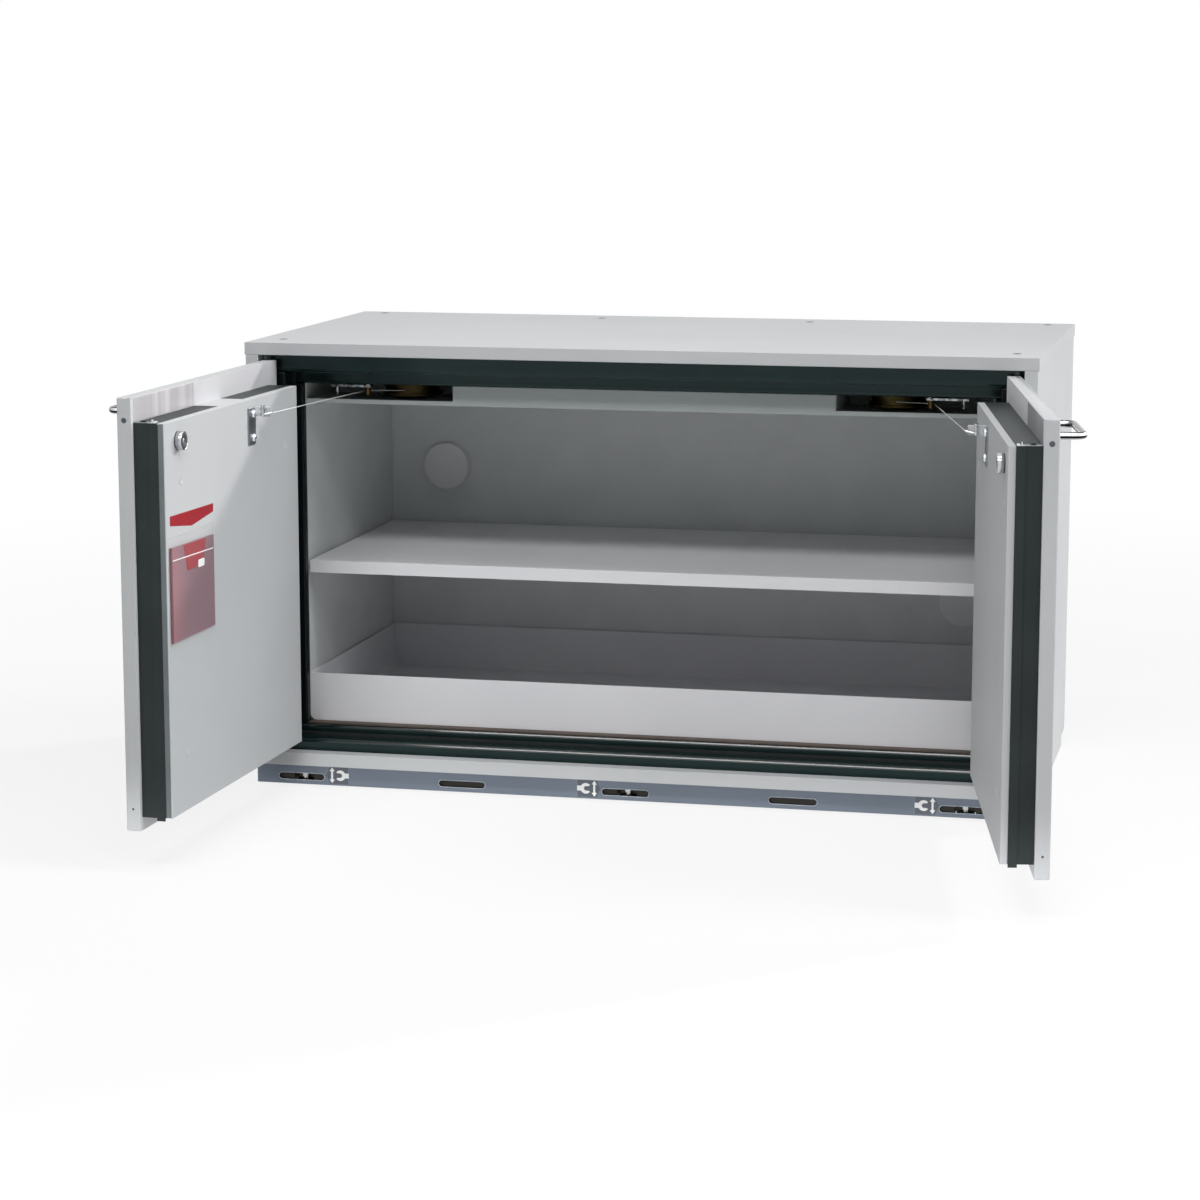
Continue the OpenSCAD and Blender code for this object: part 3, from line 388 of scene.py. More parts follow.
zinc_plate = plated("blue zinc plate", "#9DA2A7", "#92979D", 2.0, 0.34)
bright_zinc = plated("bright zinc plate", "#F0F2F3", "#E6E9EB", 2.0, 0.3)
yellow_zinc = plated("yellow passivated zinc", "#3F3722", "#332B18", 6.0, 0.45)
polished_steel = plated("polished steel", "#C6C9CB", "#B8BBBE", 3.0, 0.18)
# painted glints: the lever's cells swing between near white and near black, for the glints and dark
# reflections of steel
lever_steel_painted_glints = plated("dull lever steel", "#A4A9AC", "#2C3032", 5.0, 0.26)
brass_bar = plated("turned brass", "#57482E", "#4A3C25", 4.0, 0.4)
steel_wire = grained("stranded steel wire", "#E4E6E7", "#D6D8DA", 1.0, 0.02, Metallic=0.3, Roughness=0.45)
white_zinc = grained("white zinc", "#F6F7F7", "#ECEDEE", 1.5, 0.02, Metallic=0.2, Roughness=0.4)
print("eight metals")

# %% [markdown]
# ## Polished chrome
# The handles are chromed bars that mirror the room they stand in: a bright ceiling, dark lines and a grey
# floor, with a darker room on the left. This studio is white all round, and walls for the mirror alone would
# also shade the cabinet. So that reflection is painted into the metal's own colour, as bands that follow the
# slope of the surface, which is the same from every side: a painted reflection, darker on faces that turn
# left. Fingers leave smudges about 25 mm wide.

# %% Polished chrome
SMUDGE_MM = 25
FACING_DOWN = "#7E8082"
FACING_UP = "#3A3C3E"
PAINTED_REFLECTION_BANDS = (  # slope from 0, facing down, to 1, facing up, and the tone that the room has there
    (0.16, "#B4B6B8"), (0.22, "#101112"), (0.48, "#161718"),
    (0.55, "#F4F4F4"), (0.84, "#ECEDED"), (0.90, "#1C1D1E"),
)
chrome_plate, tree, shader, place = new_finish("polished chrome", Metallic=1.0, Roughness=0.12)
# painted reflection: the base colour is a ramp of light and dark bands by the slope of the surface
facing = add(tree, "SeparateXYZ", {0: add(tree, "NewGeometry").outputs["Normal"]})
slope = add(tree, "MapRange", {"Value": facing.outputs["Z"], "From Min": -1.0}).outputs[0]
bands = add(tree, "ValToRGB", {0: slope})
ramp = bands.color_ramp.elements
ramp[0].color = linear(FACING_DOWN)
ramp[1].color = linear(FACING_UP)
for spot, tone in PAINTED_REFLECTION_BANDS:
    ramp.new(spot).color = linear(tone)
# painted reflection: faces that turn left get darker, for the darker room on that side
leftward = {"Value": facing.outputs["X"], "From Min": -0.75, "From Max": -0.1, "To Min": 0.25}
dim = add(tree, "MapRange", leftward).outputs[0]
both = {0: 1.0, MIX_A: bands.outputs[0], MIX_B: dim}
room = add(tree, "Mix", both, data_type="RGBA", blend_type="MULTIPLY")
tree.links.new(room.outputs[MIX_RESULT], shader.inputs["Base Color"])
smudge = add(tree, "TexNoise", {"Vector": place, "Scale": per_mm(SMUDGE_MM), "Detail": 3.0}).outputs["Fac"]
gloss = add(tree, "MapRange", {"Value": smudge, "To Min": 0.08, "To Max": 0.16})
tree.links.new(gloss.outputs[0], shader.inputs["Roughness"])
print("chrome with", len(ramp), "bands")

# %% [markdown]
# ## Coat the solids
# Each solid takes the finish of its real part. Solids whose shape is right keep showing, so a material in
# their slot is all that they need. The others get it too, in case their stand-in is taken away.

# %% Coat the solids
sides = ("left", "right")
foot_places = ("front_left", "front_centre", "front_right", "rear_left", "rear_right")


def both_doors(*parts):
    """The names of parts that both doors have."""
    return [side + part for side in sides for part in parts]


coats = {
    frame_film: ["frame_rails"],
    jamb_film: ["frame_jambs"],
    seal_rubber: ["frame_seals"],
    edge_plastic: both_doors("_door_edges"),
    gypsum: ["wall_boards"] + both_doors("_door_boards"),
    melamine: ["wall_linings"],
    brown_lining: ["floor_lining"],
    dark_abs: both_doors("_edge_plugs"),
    plug_plastic: ["top_plugs"],
    nylon: both_doors("_door_bushes"),
    black_steel_and_shade: ["door_pivots", "closer_plates"],
    housing_painted_light: ["closer_housings"],
    zinc_plate: ["centre_runner", "foot_blocks", "shelf_studs"] + [place + "_foot" for place in foot_places]
    + both_doors("_wire_bracket", "_bracket_screws"),
    yellow_zinc: ["left_reel", "right_reel"],
    chrome_plate: both_doors("_handle"),
    polished_steel: both_doors("_catch", "_wire_swivel"),
    lever_steel_painted_glints: ["closer_levers"],
    brass_bar: ["wire_guides"],
    steel_wire: ["left_wire", "right_wire"],
    body_coat: ["top_panel", "left_side_panel", "right_side_panel", "rear_panel", "base_panel"]
    + both_doors("_door_pan", "_inner_panel"),
    lid_painted_light_coat: both_doors("_door_lid"),
    valance_coat: ["valance"],
    tray_coat: ["shelf", "sump_tray", "duct_sleeves"],
    plinth_coat: ["kick_rail"],
}
for finish, names in coats.items():
    for name in names:
        nodes[name].data.materials.clear()
        nodes[name].data.materials.append(finish)
print("coated", sum(len(names) for names in coats.values()), "solids")

# %% [markdown]
# ## Axes of the cabinet and its doors
# Pieces are drawn in millimetres in the axes of what carries them, and then moved there. The cabinet's axes
# start at the middle of its front plane. A door's run from its hinge edge (u), from its outer face (v) and
# up (z). All pieces could be drawn in the frame's own axes, but the doors stand at odd angles, so a matrix
# for each door saves much reckoning. The right door is the left one mirrored, at its own angle.

# %% Axes of the cabinet and its doors
MM = 0.001
FRONT_Y = -287  # the front plane in the frame; sizes are in millimetres, and times MM in metres
PIN_X = -521.5  # the left door's hinge pin
PIN_U = 6.0  # the pin from the door's hinge edge
PIN_V = 5.5  # the pin from the door's outer face, which closes in the front plane
OPEN_DEGREES = {"left": 91.5, "right": 100.5}
on_cabinet = Matrix.Translation((0, FRONT_Y * MM, 0)) @ Matrix.Scale(MM, 4)


def door_axes(side):
    """Turns a door's u, v, z in millimetres into the frame, at the angle at which the door stands open."""
    swing = Matrix.Rotation(math.radians(-OPEN_DEGREES[side]), 4, "Z")
    left = Matrix.Translation((PIN_X, PIN_V, 0)) @ swing @ Matrix.Translation((-PIN_U, -PIN_V, 0))
    flip = Matrix.Scale(-1, 4, (1, 0, 0)) if side == "right" else Matrix.Identity(4)
    return on_cabinet @ flip @ left


on_door = {side: door_axes(side) for side in sides}
print("door axes for", ", ".join(on_door))

# %% [markdown]
# ## Putting a piece in its place
# Blender's ready cubes and cylinders look like stand-ins, so the small pieces are drawn in mesh code, in
# the few ways in which a workshop makes them: bars along a path, plates cut to an outline, and pieces
# turned on a lathe. Each way comes with the first piece that needs it. What they share comes here: a drawn
# mesh is moved to its place, and gets its finish and the body that it rides on.

# %% Putting a piece in its place
def make_piece(name, bm, place, body, slot, finish, *stands_for):
    """Moves a drawn mesh to its place, gives it its finish and lets it ride on a body."""
    bm.transform(place)
    bmesh.ops.recalc_face_normals(bm, faces=bm.faces)
    mesh = bpy.data.meshes.new(name)
    bm.to_mesh(mesh)
    bm.free()
    mesh.materials.append(finish)
    piece = bpy.data.objects.new(name, mesh)
    scene.collection.objects.link(piece)
    if body:
        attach(piece, body)
    if stands_for:
        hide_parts(*stands_for)
    return piece


# %% [markdown]
# ## A bar along a path
# Wires, rims and welds are thin round bars that follow a path. A curve with a bevel would give a smooth
# bar, but the closing wires are twisted from strands, which show as slanting lobes. So rings of points are
# set along the path and joined, and the lobes move on round the bar from ring to ring.

# %% A bar along a path
GROOVE = 0.14  # how deep the grooves between a wire's strands are, as a share of its radius


def skin(bm, lower, upper):
    """Smooth faces between two rings of points; a ring of one point is the tip of a cone."""
    steps = max(len(lower), len(upper))
    for k in range(steps):
        j = k + 1
        quad = [lower[k % len(lower)], lower[j % len(lower)], upper[j % len(upper)], upper[k % len(upper)]]
        face = bm.faces.new(list(dict.fromkeys(quad)))
        face.smooth = True


def tube(bm, route, radius, facets=10, strands=0, lay_mm=14.0):
    """A round bar along a route; with strands it gets a twisted rope's lobes, one turn in lay_mm."""
    route = [Vector(p) for p in route]
    upright = abs((route[1] - route[0]).normalized().z) > 0.9
    side = Vector((1, 0, 0)) if upright else Vector((0, 0, 1))
    rings = []
    walked = 0.0
    for i, spot in enumerate(route):
        ahead = (route[min(i + 1, len(route) - 1)] - route[max(i - 1, 0)]).normalized()
        side = (side - ahead * side.dot(ahead)).normalized()
        other = ahead.cross(side)
        walked += (spot - route[i - 1]).length if i else 0
        ring = []
        for k in range(facets):
            a = 2 * math.pi * k / facets
            turn = strands * (a - 2 * math.pi * walked / lay_mm)
            r = radius * (1 - GROOVE * (0.5 - 0.5 * math.cos(turn)))
            ring.append(bm.verts.new(spot + side * (r * math.cos(a)) + other * (r * math.sin(a))))
        rings.append(ring)
    for lower, upper in zip(rings, rings[1:]):
        skin(bm, lower, upper)
    bm.faces.new(rings[0])
    bm.faces.new(rings[-1])


print("a stranded bar's grooves are", round(GROOVE * 100), "percent of its radius deep")

# %% [markdown]
# ## Closing wires
# A thin stranded wire runs from each door's swivel round a brass guide to the spring reel. It is taut, so
# its route is straight from point to point. The solid wire can't follow the door, and a wire that rode on
# the door alone would leave its guide. So this one stands for the solid. It is drawn once, from the swivel
# of the open door to the reel, and rides on no body.

# %% Closing wires
WIRE_MM = 1.2
SWIVEL = (202.6, 87.5, 555.0)  # the wire's end on the door
WIRE_Z = 557.5
GUIDE = (-398, 84)  # the left guide's axis
GUIDE_PATH = 4.9  # from the guide's axis to the middle of the wire
GUIDE_DEGREES = (14, 45, 80)  # where the wire bends round the guide
REEL = (-348, 139.5)  # the left reel's axis
REEL_PATH = 38.9  # from the reel's axis to the wire


def wire_route(side, step=2.0):
    """Points along a wire in the frame, from the swivel to the reel, a few millimetres apart."""
    flip = 1 if side == "left" else -1
    knots = [on_door[side] @ Vector(SWIVEL)]
    for degrees in GUIDE_DEGREES:
        a = math.radians(degrees)
        x, y = GUIDE[0] - GUIDE_PATH * math.cos(a), GUIDE[1] + GUIDE_PATH * math.sin(a)
        knots.append(on_cabinet @ Vector((flip * x, y, WIRE_Z)))
    knots.append(on_cabinet @ Vector((flip * REEL[0], REEL[1] - REEL_PATH, WIRE_Z)))
    route = [knots[0]]
    for near, far in zip(knots, knots[1:]):
        count = max(1, round((far - near).length / MM / step))
        route += [near.lerp(far, k / count) for k in range(1, count + 1)]
    return route


for side in sides:
    route = wire_route(side)
    bm = bmesh.new()
    tube(bm, [p / MM for p in route], WIRE_MM / 2, facets=18, strands=6)
    as_drawn = Matrix.Scale(MM, 4)
    wire = make_piece(side + "_closing_wire", bm, as_drawn, None, "wire", steel_wire, side + "_wire")
    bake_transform(wire)

# %% [markdown]
# ## Folding sheet metal
# Real sheet is bent round a tool, so an outside corner is an arc of a few millimetres that catches a thin
# light. The solids have sharp corners. A bevel modifier would round every edge, also the cut ones. Here
# each sheet is copied, its flat faces are joined again, and only the folds are bevelled: convex edges
# between two wide faces.

# %% Folding sheet metal
FOLD_ANGLE = 1.2  # radians between two faces that make a fold
FLAT_ANGLE = 0.01
WIDE = 6 * MM  # faces at the cut edges of a sheet are narrower
SAME_SPOT = 0.01 * MM
SLIVER = 0.02 * MM


def reach(face, edge):
    """How far a face extends from one of its edges."""
    a, b = edge.verts[0].co, edge.verts[1].co
    along = (b - a).normalized()
    return max(((v.co - a) - along * (v.co - a).dot(along)).length for v in face.verts)


def is_fold(edge):
    """True for a convex edge between two wide faces."""
    if len(edge.link_faces) != 2 or not edge.is_convex or edge.calc_face_angle() <= FOLD_ANGLE:
        return False
    return min(reach(face, edge) for face in edge.link_faces) > WIDE and edge.calc_length() > WIDE


def folded(node, radius_mm, body, slot, finish, sharp=None):
    """A copy of a sheet-metal solid with round folds, standing for it; sharp tells which edges stay."""
    bm = bmesh.new()
    bm.from_mesh(nodes[node].data)
    bmesh.ops.remove_doubles(bm, verts=bm.verts, dist=SAME_SPOT)
    bmesh.ops.dissolve_limit(bm, angle_limit=FLAT_ANGLE, verts=bm.verts, edges=bm.edges)
    folds = [edge for edge in bm.edges if is_fold(edge) and not (sharp and sharp(edge))]
    arc = {"offset": radius_mm * MM, "segments": 3, "profile": 0.5, "clamp_overlap": True}
    made = bmesh.ops.bevel(bm, geom=folds, affect="EDGES", **arc)
    for face in made["faces"]:
        face.smooth = True
    bmesh.ops.remove_doubles(bm, verts=bm.verts, dist=SLIVER)
    bmesh.ops.dissolve_degenerate(bm, dist=SLIVER, edges=bm.edges)
    print(node, "has", len(folds), "round folds")
    return make_piece(node + "_folded", bm, Matrix.Identity(4), body, slot, finish, node)


print("a fold is sharper than", round(math.degrees(FOLD_ANGLE)), "degrees")

# %% [markdown]
# ## The cabinet's sheets and frame
# The cover, sides, base, valance, plinth and shelf are folded sheets, and the frame's posts have slightly
# rounded corners. Along its two sides the cover is pressed tight and shows no light line, so those edges
# stay sharp. The frame's head and sill are rounded only along the edges that face the doors, and the sill's
# are rubbed glossy.

# %% The cabinet's sheets and frame
COVER_SIDE_X = 550 * MM
COVER_TOP_Z = 629 * MM
MID_HEIGHT = 300 * MM
RAIL_EDGES = ((21, 66), (62, 79.5), (21, 588), (62, 568.5))  # y and z of the edges that are rounded


def cover_side(edge):
    """True for the cover's two long side edges."""
    return all(abs(v.co.x) > COVER_SIDE_X and v.co.z > COVER_TOP_Z for v in edge.verts)


def off_rail_edge(edge):
    """True for an edge of the rails that isn't one of those to be rounded."""
    for v in edge.verts:
        gaps = [abs(v.co.y - (FRONT_Y + y) * MM) + abs(v.co.z - z * MM) for y, z in RAIL_EDGES]
        if min(gaps) >= MM:
            return True
    return False


def second_coat(piece, finish, chosen):
    """Gives some faces of a piece another finish."""
    piece.data.materials.append(finish)
    for face in piece.data.polygons:
        if chosen(face):
            face.material_index = 1


sheets = [
    ("top_panel", 2.6, "cabinet", "paint", body_coat, cover_side),
    ("left_side_panel", 2.0, "cabinet", "paint", body_coat),
    ("right_side_panel", 2.0, "cabinet", "paint", body_coat),
    ("base_panel", 2.0, "cabinet", "paint", body_coat),
    ("valance", 1.2, "cabinet", "paint", valance_coat),
    ("kick_rail", 1.6, "cabinet", "kick_paint", plinth_coat),
    ("shelf", 2.2, "shelf_body", "paint", tray_coat),
    ("frame_jambs", 2.4, "cabinet", "frame_board", jamb_film),
]
for sheet in sheets:
    folded(*sheet)
polished_edge = grained(
    "film rubbed glossy", "#142222", "#101C1C", 1.8, 0.01, Roughness=0.12, Specular_IOR_Level=1.0
)
rails = folded("frame_rails", 4.5, "cabinet", "frame_board", frame_film, off_rail_edge)
second_coat(rails, polished_edge, lambda face: face.use_smooth and face.center.z < MID_HEIGHT)
print(len(sheets) + 1, "pieces folded")

# %% [markdown]
# ## The doors' sheets
# A door is a pan with a lid, and an inner panel on the plug behind it. Only the pan's outer corners and the
# lid's inner ones are folds that show. The lids' inner faces get paler coats than their edges, painted light
# against the shade they get above the plug, and the part of the wire bracket that stands out from the panel
# is painted like the door.

# %% The doors' sheets
PAN_CORNERS = 13  # folds of the pan lie nearer to the outer face than this
LID_CORNERS = 16  # folds of the lid lie further from it than this
LID_FACE = 18.2
BRACKET_HOOK = 62
# painted light: the right lid's face, in more shade, gets the paler coat of the two
lid_face_painted_light = {"left": lid_painted_light_coat, "right": tray_coat}  # the right one is the paler of the two


def door_depth(side, spot):
    """How far a spot of the frame lies behind a door's outer face, in millimetres."""
    return (on_door[side].inverted() @ spot).y


for side in sides:
    body = side + "_door"
    folded(
        side + "_door_pan", 1.8, body, "paint", body_coat,
        lambda edge: min(door_depth(side, v.co) for v in edge.verts) > PAN_CORNERS,
    )
    folded(side + "_inner_panel", 3.5, body, "paint", body_coat)
    lid = folded(
        side + "_door_lid", 1.2, body, "paint", body_coat,
        lambda edge: max(door_depth(side, v.co) for v in edge.verts) < LID_CORNERS,
    )
    second_coat(lid, lid_face_painted_light[side], lambda face: door_depth(side, face.center) > LID_FACE)
    bracket = folded(side + "_wire_bracket", 0.8, body, "zinc", zinc_plate)
    second_coat(bracket, body_coat, lambda face: door_depth(side, face.center) > BRACKET_HOOK)
print("pans, lids, inner panels and brackets of both doors")

# %% [markdown]
# ## Plinth: slot rims
# The spanner slots are punched, and a thin bright line of light runs along their edges. A bevel in the rail
# would be too fine to shade well, so a thin bar of paler paint lies round each slot: a painted highlight.

# %% Plinth: slot rims
RAIL_FACE = 20.0  # y of the rail's front
FIRST_SLOT_X = -483.5
SLOT_PITCH = 236
SLOT_Z = 11.0
SLOT_LENGTH = 68.0
SLOT_HEIGHT = 10.0
RIM_RADIUS = 0.55
RIM_PROUD = 0.05  # the rim's middle from the rail's front
slots = [FIRST_SLOT_X + SLOT_PITCH * k for k in range(5)]


def slot_outline(x, steps=12):
    """Outline of a slot with round ends, as x and z pairs."""
    half = SLOT_HEIGHT / 2
    outline = []
    for end, start in ((1, -90), (-1, 90)):
        middle = x + end * (SLOT_LENGTH - SLOT_HEIGHT) / 2
        for k in range(steps + 1):
            a = math.radians(start + 180 * k / steps)
            outline.append((middle + half * math.cos(a), SLOT_Z + half * math.sin(a)))
    return outline


# painted highlight: the rims' paler paint stands for the light along the slots' edges
rim_painted_highlight = powder_coat("painted_highlight slot rim", "#C2CBD4", "#B6BFC9")
bm = bmesh.new()
for x in slots:
    loop = [(a, RAIL_FACE - RIM_PROUD, b) for a, b in slot_outline(x)]
    tube(bm, loop + loop[:2], RIM_RADIUS, facets=6)
make_piece("slot_rims", bm, on_cabinet, "cabinet", "kick_paint", rim_painted_highlight)
print("rims on", len(slots), "slots")

# %% [markdown]
# ## Plinth: the strip behind
# Behind the rail runs a steel strip with gaps where the feet stand. Its zinc has a dull khaki passivation,
# drawn nearly black, which is partly painted shade for the dark inside the slots. A cube scaled flat can't
# have such gaps, so a plate is drawn from an outline and a thickness, and the outline steps back behind each
# foot. The stickers, clips and labels further on are plates too.

# %% Plinth: the strip behind
STRIP_HEIGHTS = (0.6, 30.4)
STRIP_END = 538
STRIP_FRONT = (14.5, 32, 55)  # half of the gap at a foot, y of the line, and y of its steps
STRIP_BACK = (15.5, 33, 56)


def plate(bm, outline, low, high, round_off=0.0, axis="Y"):
    """A flat plate with its outline in u and z, from v = low to v = high, its outer edges rounded off.
    With axis Z the outline is in u and v, and low and high are heights."""
    rings = []
    for level in (low, high):
        corners = [(a, level, b) if axis == "Y" else (a, b, level) for a, b in outline]
        rings.append([bm.verts.new(corner) for corner in corners])
    bm.faces.new(rings[0])
    front = bm.faces.new(rings[1])
    for i in range(len(outline)):
        j = (i + 1) % len(outline)
        bm.faces.new((rings[0][i], rings[0][j], rings[1][j], rings[1][i]))
    if round_off:
        rim = list(front.edges)
        bmesh.ops.bevel(bm, geom=rim, offset=round_off, segments=2, affect="EDGES", profile=0.5)


def stepped(feet, half_gap, near, far):
    """A line along x in front of the feet, that steps back at each of them."""
    line = []
    for x in feet:
        line += [(x - half_gap, near), (x - half_gap, far), (x + half_gap, far), (x + half_gap, near)]
    return [(-STRIP_END, near)] + line + [(STRIP_END, near)]


# partly painted shade: the strip is drawn nearly black for the dark inside the slots
khaki_and_shade_strip = grained(
    "khaki passivated strip", "#2E2A24", "#26231D", 5.0, 0.02, Metallic=0.3, Roughness=0.6
)
front_feet = slots[::2]
strip_outline = stepped(front_feet, *STRIP_FRONT) + stepped(front_feet, *STRIP_BACK)[::-1]
bm = bmesh.new()
plate(bm, strip_outline, *STRIP_HEIGHTS, axis="Z")
make_piece("plinth_strip", bm, on_cabinet, "cabinet", "zinc", khaki_and_shade_strip)
print("a strip with", len(front_feet), "gaps")

# %% [markdown]
# ## Plinth: slot markers
# Beside three slots a slate-coloured sticker points to the slot, with a white double arrow and a spanner,
# the common sign for a foot that turns up and down. Rolled vinyl is smooth with a low sheen, and the print
# on it is a little duller. Each shape is a thin plate, cut to its outline as a plotter cuts vinyl, so the
# signs stay crisp at any distance.

# %% Plinth: slot markers
STICKER = RAIL_FACE - 0.25  # y of the sticker's face
INK = STICKER - 0.13
MARKER_Z = 14.6
MARKERS = ((-446.5, 1), (-47.5, -1), (425.8, -1))  # x of the tip, and the way the sticker runs from there
STICKER_SHAPE = ((0, 0), (5.0, 12.2), (32, 12.2), (32, -12.2), (5.0, -12.2))
ARROW_SHAPE = (
    (0, 11.4), (3.9, 5.9), (1.5, 5.9), (1.5, -5.9), (3.9, -5.9),
    (0, -11.4), (-3.9, -5.9), (-1.5, -5.9), (-1.5, 5.9), (-3.9, 5.9),
)
ARROW_X = 8.3
SPANNER_X = 20.5
sticker_vinyl = grained("slate vinyl", "#565C66", "#50565F", 2.0, 0.01, Roughness=0.4)
print_white = grained("white print", "#FBFBFB", "#F6F6F6", 2.0, 0.01, Roughness=0.45)


def spanner(cx, cz, way):
    """Outline of an open-ended spanner's head, with its jaw towards the arrow and a short handle."""
    head, jaw, throat, mouth, handle = 7.6, 3.6, 1.4, 5.0, 12.4

    def arc(start):
        """One half of the head's round."""
        angles = [math.radians(start - 112 * k / 14) for k in range(15)]
        return [(head * math.cos(a), head * math.sin(a)) for a in angles]

    outline = [(throat, -jaw * 0.8), (throat + 1.4, 0), (throat, jaw * 0.8), (-mouth, jaw)]
    outline += arc(140) + [(handle, jaw), (handle, -jaw)] + arc(-28) + [(-mouth, -jaw)]
    return [(cx + way * a, cz + b) for a, b in outline]


backs = bmesh.new()
signs = bmesh.new()
for tip, way in MARKERS:
    plate(backs, [(tip + way * a, MARKER_Z + b) for a, b in STICKER_SHAPE], STICKER, RAIL_FACE)
    plate(signs, [(tip + way * ARROW_X + a, MARKER_Z + b) for a, b in ARROW_SHAPE], INK, STICKER)
    plate(signs, spanner(tip + way * SPANNER_X, MARKER_Z, way), INK, STICKER)
make_piece("slot_markers", backs, on_cabinet, "cabinet", "kick_paint", sticker_vinyl)
make_piece("slot_signs", signs, on_cabinet, "cabinet", "kick_paint", print_white)
print(len(MARKERS), "markers")

# %% [markdown]
# ## Levelling feet
# Each foot is a zinc-plated spindle with a square for the spanner, on a black plastic pad. Moulded
# polyamide has a dull skin, and white zinc a pale, blurred shine. A ready cylinder has no rounded rim or
# neck, so pad, neck and shank are profiles spun round the axis, as on a lathe, with a square plate between
# neck and shank. The shank's thread shows as fine rings, because a true helix would look no different at
# this size.

# %% Levelling feet
PAD_PROFILE = [(0, 0), (12.2, 0), (13, 0.8), (13, 2.6), (12.2, 3.5), (6, 4.0), (0, 4.0)]
NECK_PROFILE = [(0, 3.6), (3.0, 3.6), (3.0, 7.8), (0, 7.8)]
THREAD = [(6.0 - 0.5 * (k % 2), 18 + 0.875 * k) for k in range(14)]
SHANK_PROFILE = [(0, 17.8)] + THREAD + [(5.4, 30), (0, 30)]
SQUARE = 3.5  # half of the square's width
SQUARE_HEIGHTS = (7.6, 18)
FRONT_FOOT_Y = 40
REAR_FOOT = (471, 485)


def turned(bm, centre, profile, axis="Y", steps=36):
    """A profile of radius and height pairs, spun round an axis through the centre."""
    rings = []
    for radius, height in profile:
        ring = []
        for k in range(steps if radius else 1):
            a = 2 * math.pi * k / steps
            across, up = radius * math.cos(a), radius * math.sin(a)
            spot = (across, height, up) if axis == "Y" else (across, up, height)
            ring.append(bm.verts.new(Vector(centre) + Vector(spot)))
        rings.append(ring)
    for lower, upper in zip(rings, rings[1:]):
        skin(bm, lower, upper)


pad_plastic = grained(
    "black polyamide pad", "#1C1E1E", "#171919", 1.5, 0.02, Roughness=0.6, Specular_IOR_Level=0.3
)
foot_spots = [(x, FRONT_FOOT_Y) for x in front_feet] + [(-REAR_FOOT[0], REAR_FOOT[1]), REAR_FOOT]
for name, (x, y) in zip(foot_places, foot_spots):
    body = name + "_foot_body"
    bm = bmesh.new()
    turned(bm, (x, y, 0), PAD_PROFILE, "Z")
    make_piece(name + "_foot_pad", bm, on_cabinet, body, "dark_plastic", pad_plastic, name + "_foot")
    bm = bmesh.new()
    turned(bm, (x, y, 0), NECK_PROFILE, "Z", steps=24)
    square = [(x + a * SQUARE, y + b * SQUARE) for a, b in ((-1, -1), (1, -1), (1, 1), (-1, 1))]
    plate(bm, square, *SQUARE_HEIGHTS, round_off=0.4, axis="Z")
    turned(bm, (x, y, 0), SHANK_PROFILE, "Z", steps=24)
    make_piece(name + "_foot_spindle", bm, on_cabinet, body, "zinc", white_zinc)
print(len(foot_spots), "feet")

# %% [markdown]
# ## Catches, screws and caps on the doors
# A pot magnet near the top holds each door shut: a polished cup, a dark ferrite ring and a screw in the
# middle. Ferrite is pressed from powder, so it is dull and a little rough. The wire bracket's screws have
# domed heads, and four flat moulded caps close the fixing holes of each inner panel. All of these are
# round, so they are spun from profiles.

# %% Catches, screws and caps
PANEL_FACE = 59.5  # v of the inner panel's face
BRACKET_FACE = 61.5
CATCH_U = 475
CATCH_Z = 547.8
SCREW_U = 209
SCREW_Z = (553.3, 521.3)
CAP_SPOTS = ((466, 496.5), (82, 496.5), (80, 148), (464, 147.5))
CUP_PROFILE = [
    (0, 1.6), (11.7, 1.6), (12, 2.0), (12, 9.1), (11.8, 9.4),
    (11.5, 9.5), (11.2, 9.4), (11.1, 8.6), (11.1, 2.0), (0, 2.0),
]
BASE_PROFILE = [(0, 0), (11.6, 0), (11.9, 0.3), (11.9, 1.5), (0, 1.5)]
MAGNET_PROFILE = [(11.0, 0.1), (11.0, 6.8), (10.7, 7.1), (4.4, 7.1), (3.8, 6.0), (3.6, 0.1), (11.0, 0.1)]
CATCH_SCREW_PROFILE = [(0, 0.1), (3.4, 0.1), (3.4, 5.6), (3.1, 6.3), (1.9, 6.8), (0, 6.9)]
DOME_PROFILE = [(0, 0), (5.5, 0), (5.5, 0.8), (5.0, 1.9), (3.9, 2.8), (2.4, 3.3), (0.9, 3.5), (0, 3.5)]
CAP_PROFILE = [(0, -0.4), (5.6, -0.4), (5.6, 0.3), (5.3, 0.7), (4.9, 0.6), (4.3, 0.15), (0, 0.12)]
ferrite = grained("ferrite magnet", "#4C4C4E", "#434345", 1.4, 0.03, Roughness=0.5, Metallic=0.3)
cap_plastic = grained("light grey cap", "#C0C2C3", "#BBBDBE", 1.5, 0.01, Roughness=0.5)
on_panel = (CATCH_U, PANEL_FACE, CATCH_Z)
in_cup = (CATCH_U, PANEL_FACE + 2, CATCH_Z)
screw_spots = [(SCREW_U, BRACKET_FACE, z) for z in SCREW_Z]
cap_spots = [(u, PANEL_FACE, z) for u, z in CAP_SPOTS]
door_fittings = [
    ("_catch_cup", [(on_panel, CUP_PROFILE)], "chrome", polished_steel, ["_catch"]),
    ("_catch_magnet", [(on_panel, BASE_PROFILE), (in_cup, MAGNET_PROFILE)], "dark_plastic", ferrite, []),
    ("_catch_screw", [(in_cup, CATCH_SCREW_PROFILE)], "zinc", bright_zinc, []),
    ("_screw_heads", [(at, DOME_PROFILE) for at in screw_spots], "zinc", bright_zinc, ["_bracket_screws"]),
    ("_panel_caps", [(at, CAP_PROFILE) for at in cap_spots], "paint", cap_plastic, []),
]
for side in sides:
    for name, spun, slot, finish, solids in door_fittings:
        bm = bmesh.new()
        for spot, profile in spun:
            turned(bm, spot, profile)
        stands_for = [side + solid for solid in solids]
        make_piece(side + name, bm, on_door[side], side + "_door", slot, finish, *stands_for)
print("catches, screws and caps on both doors")
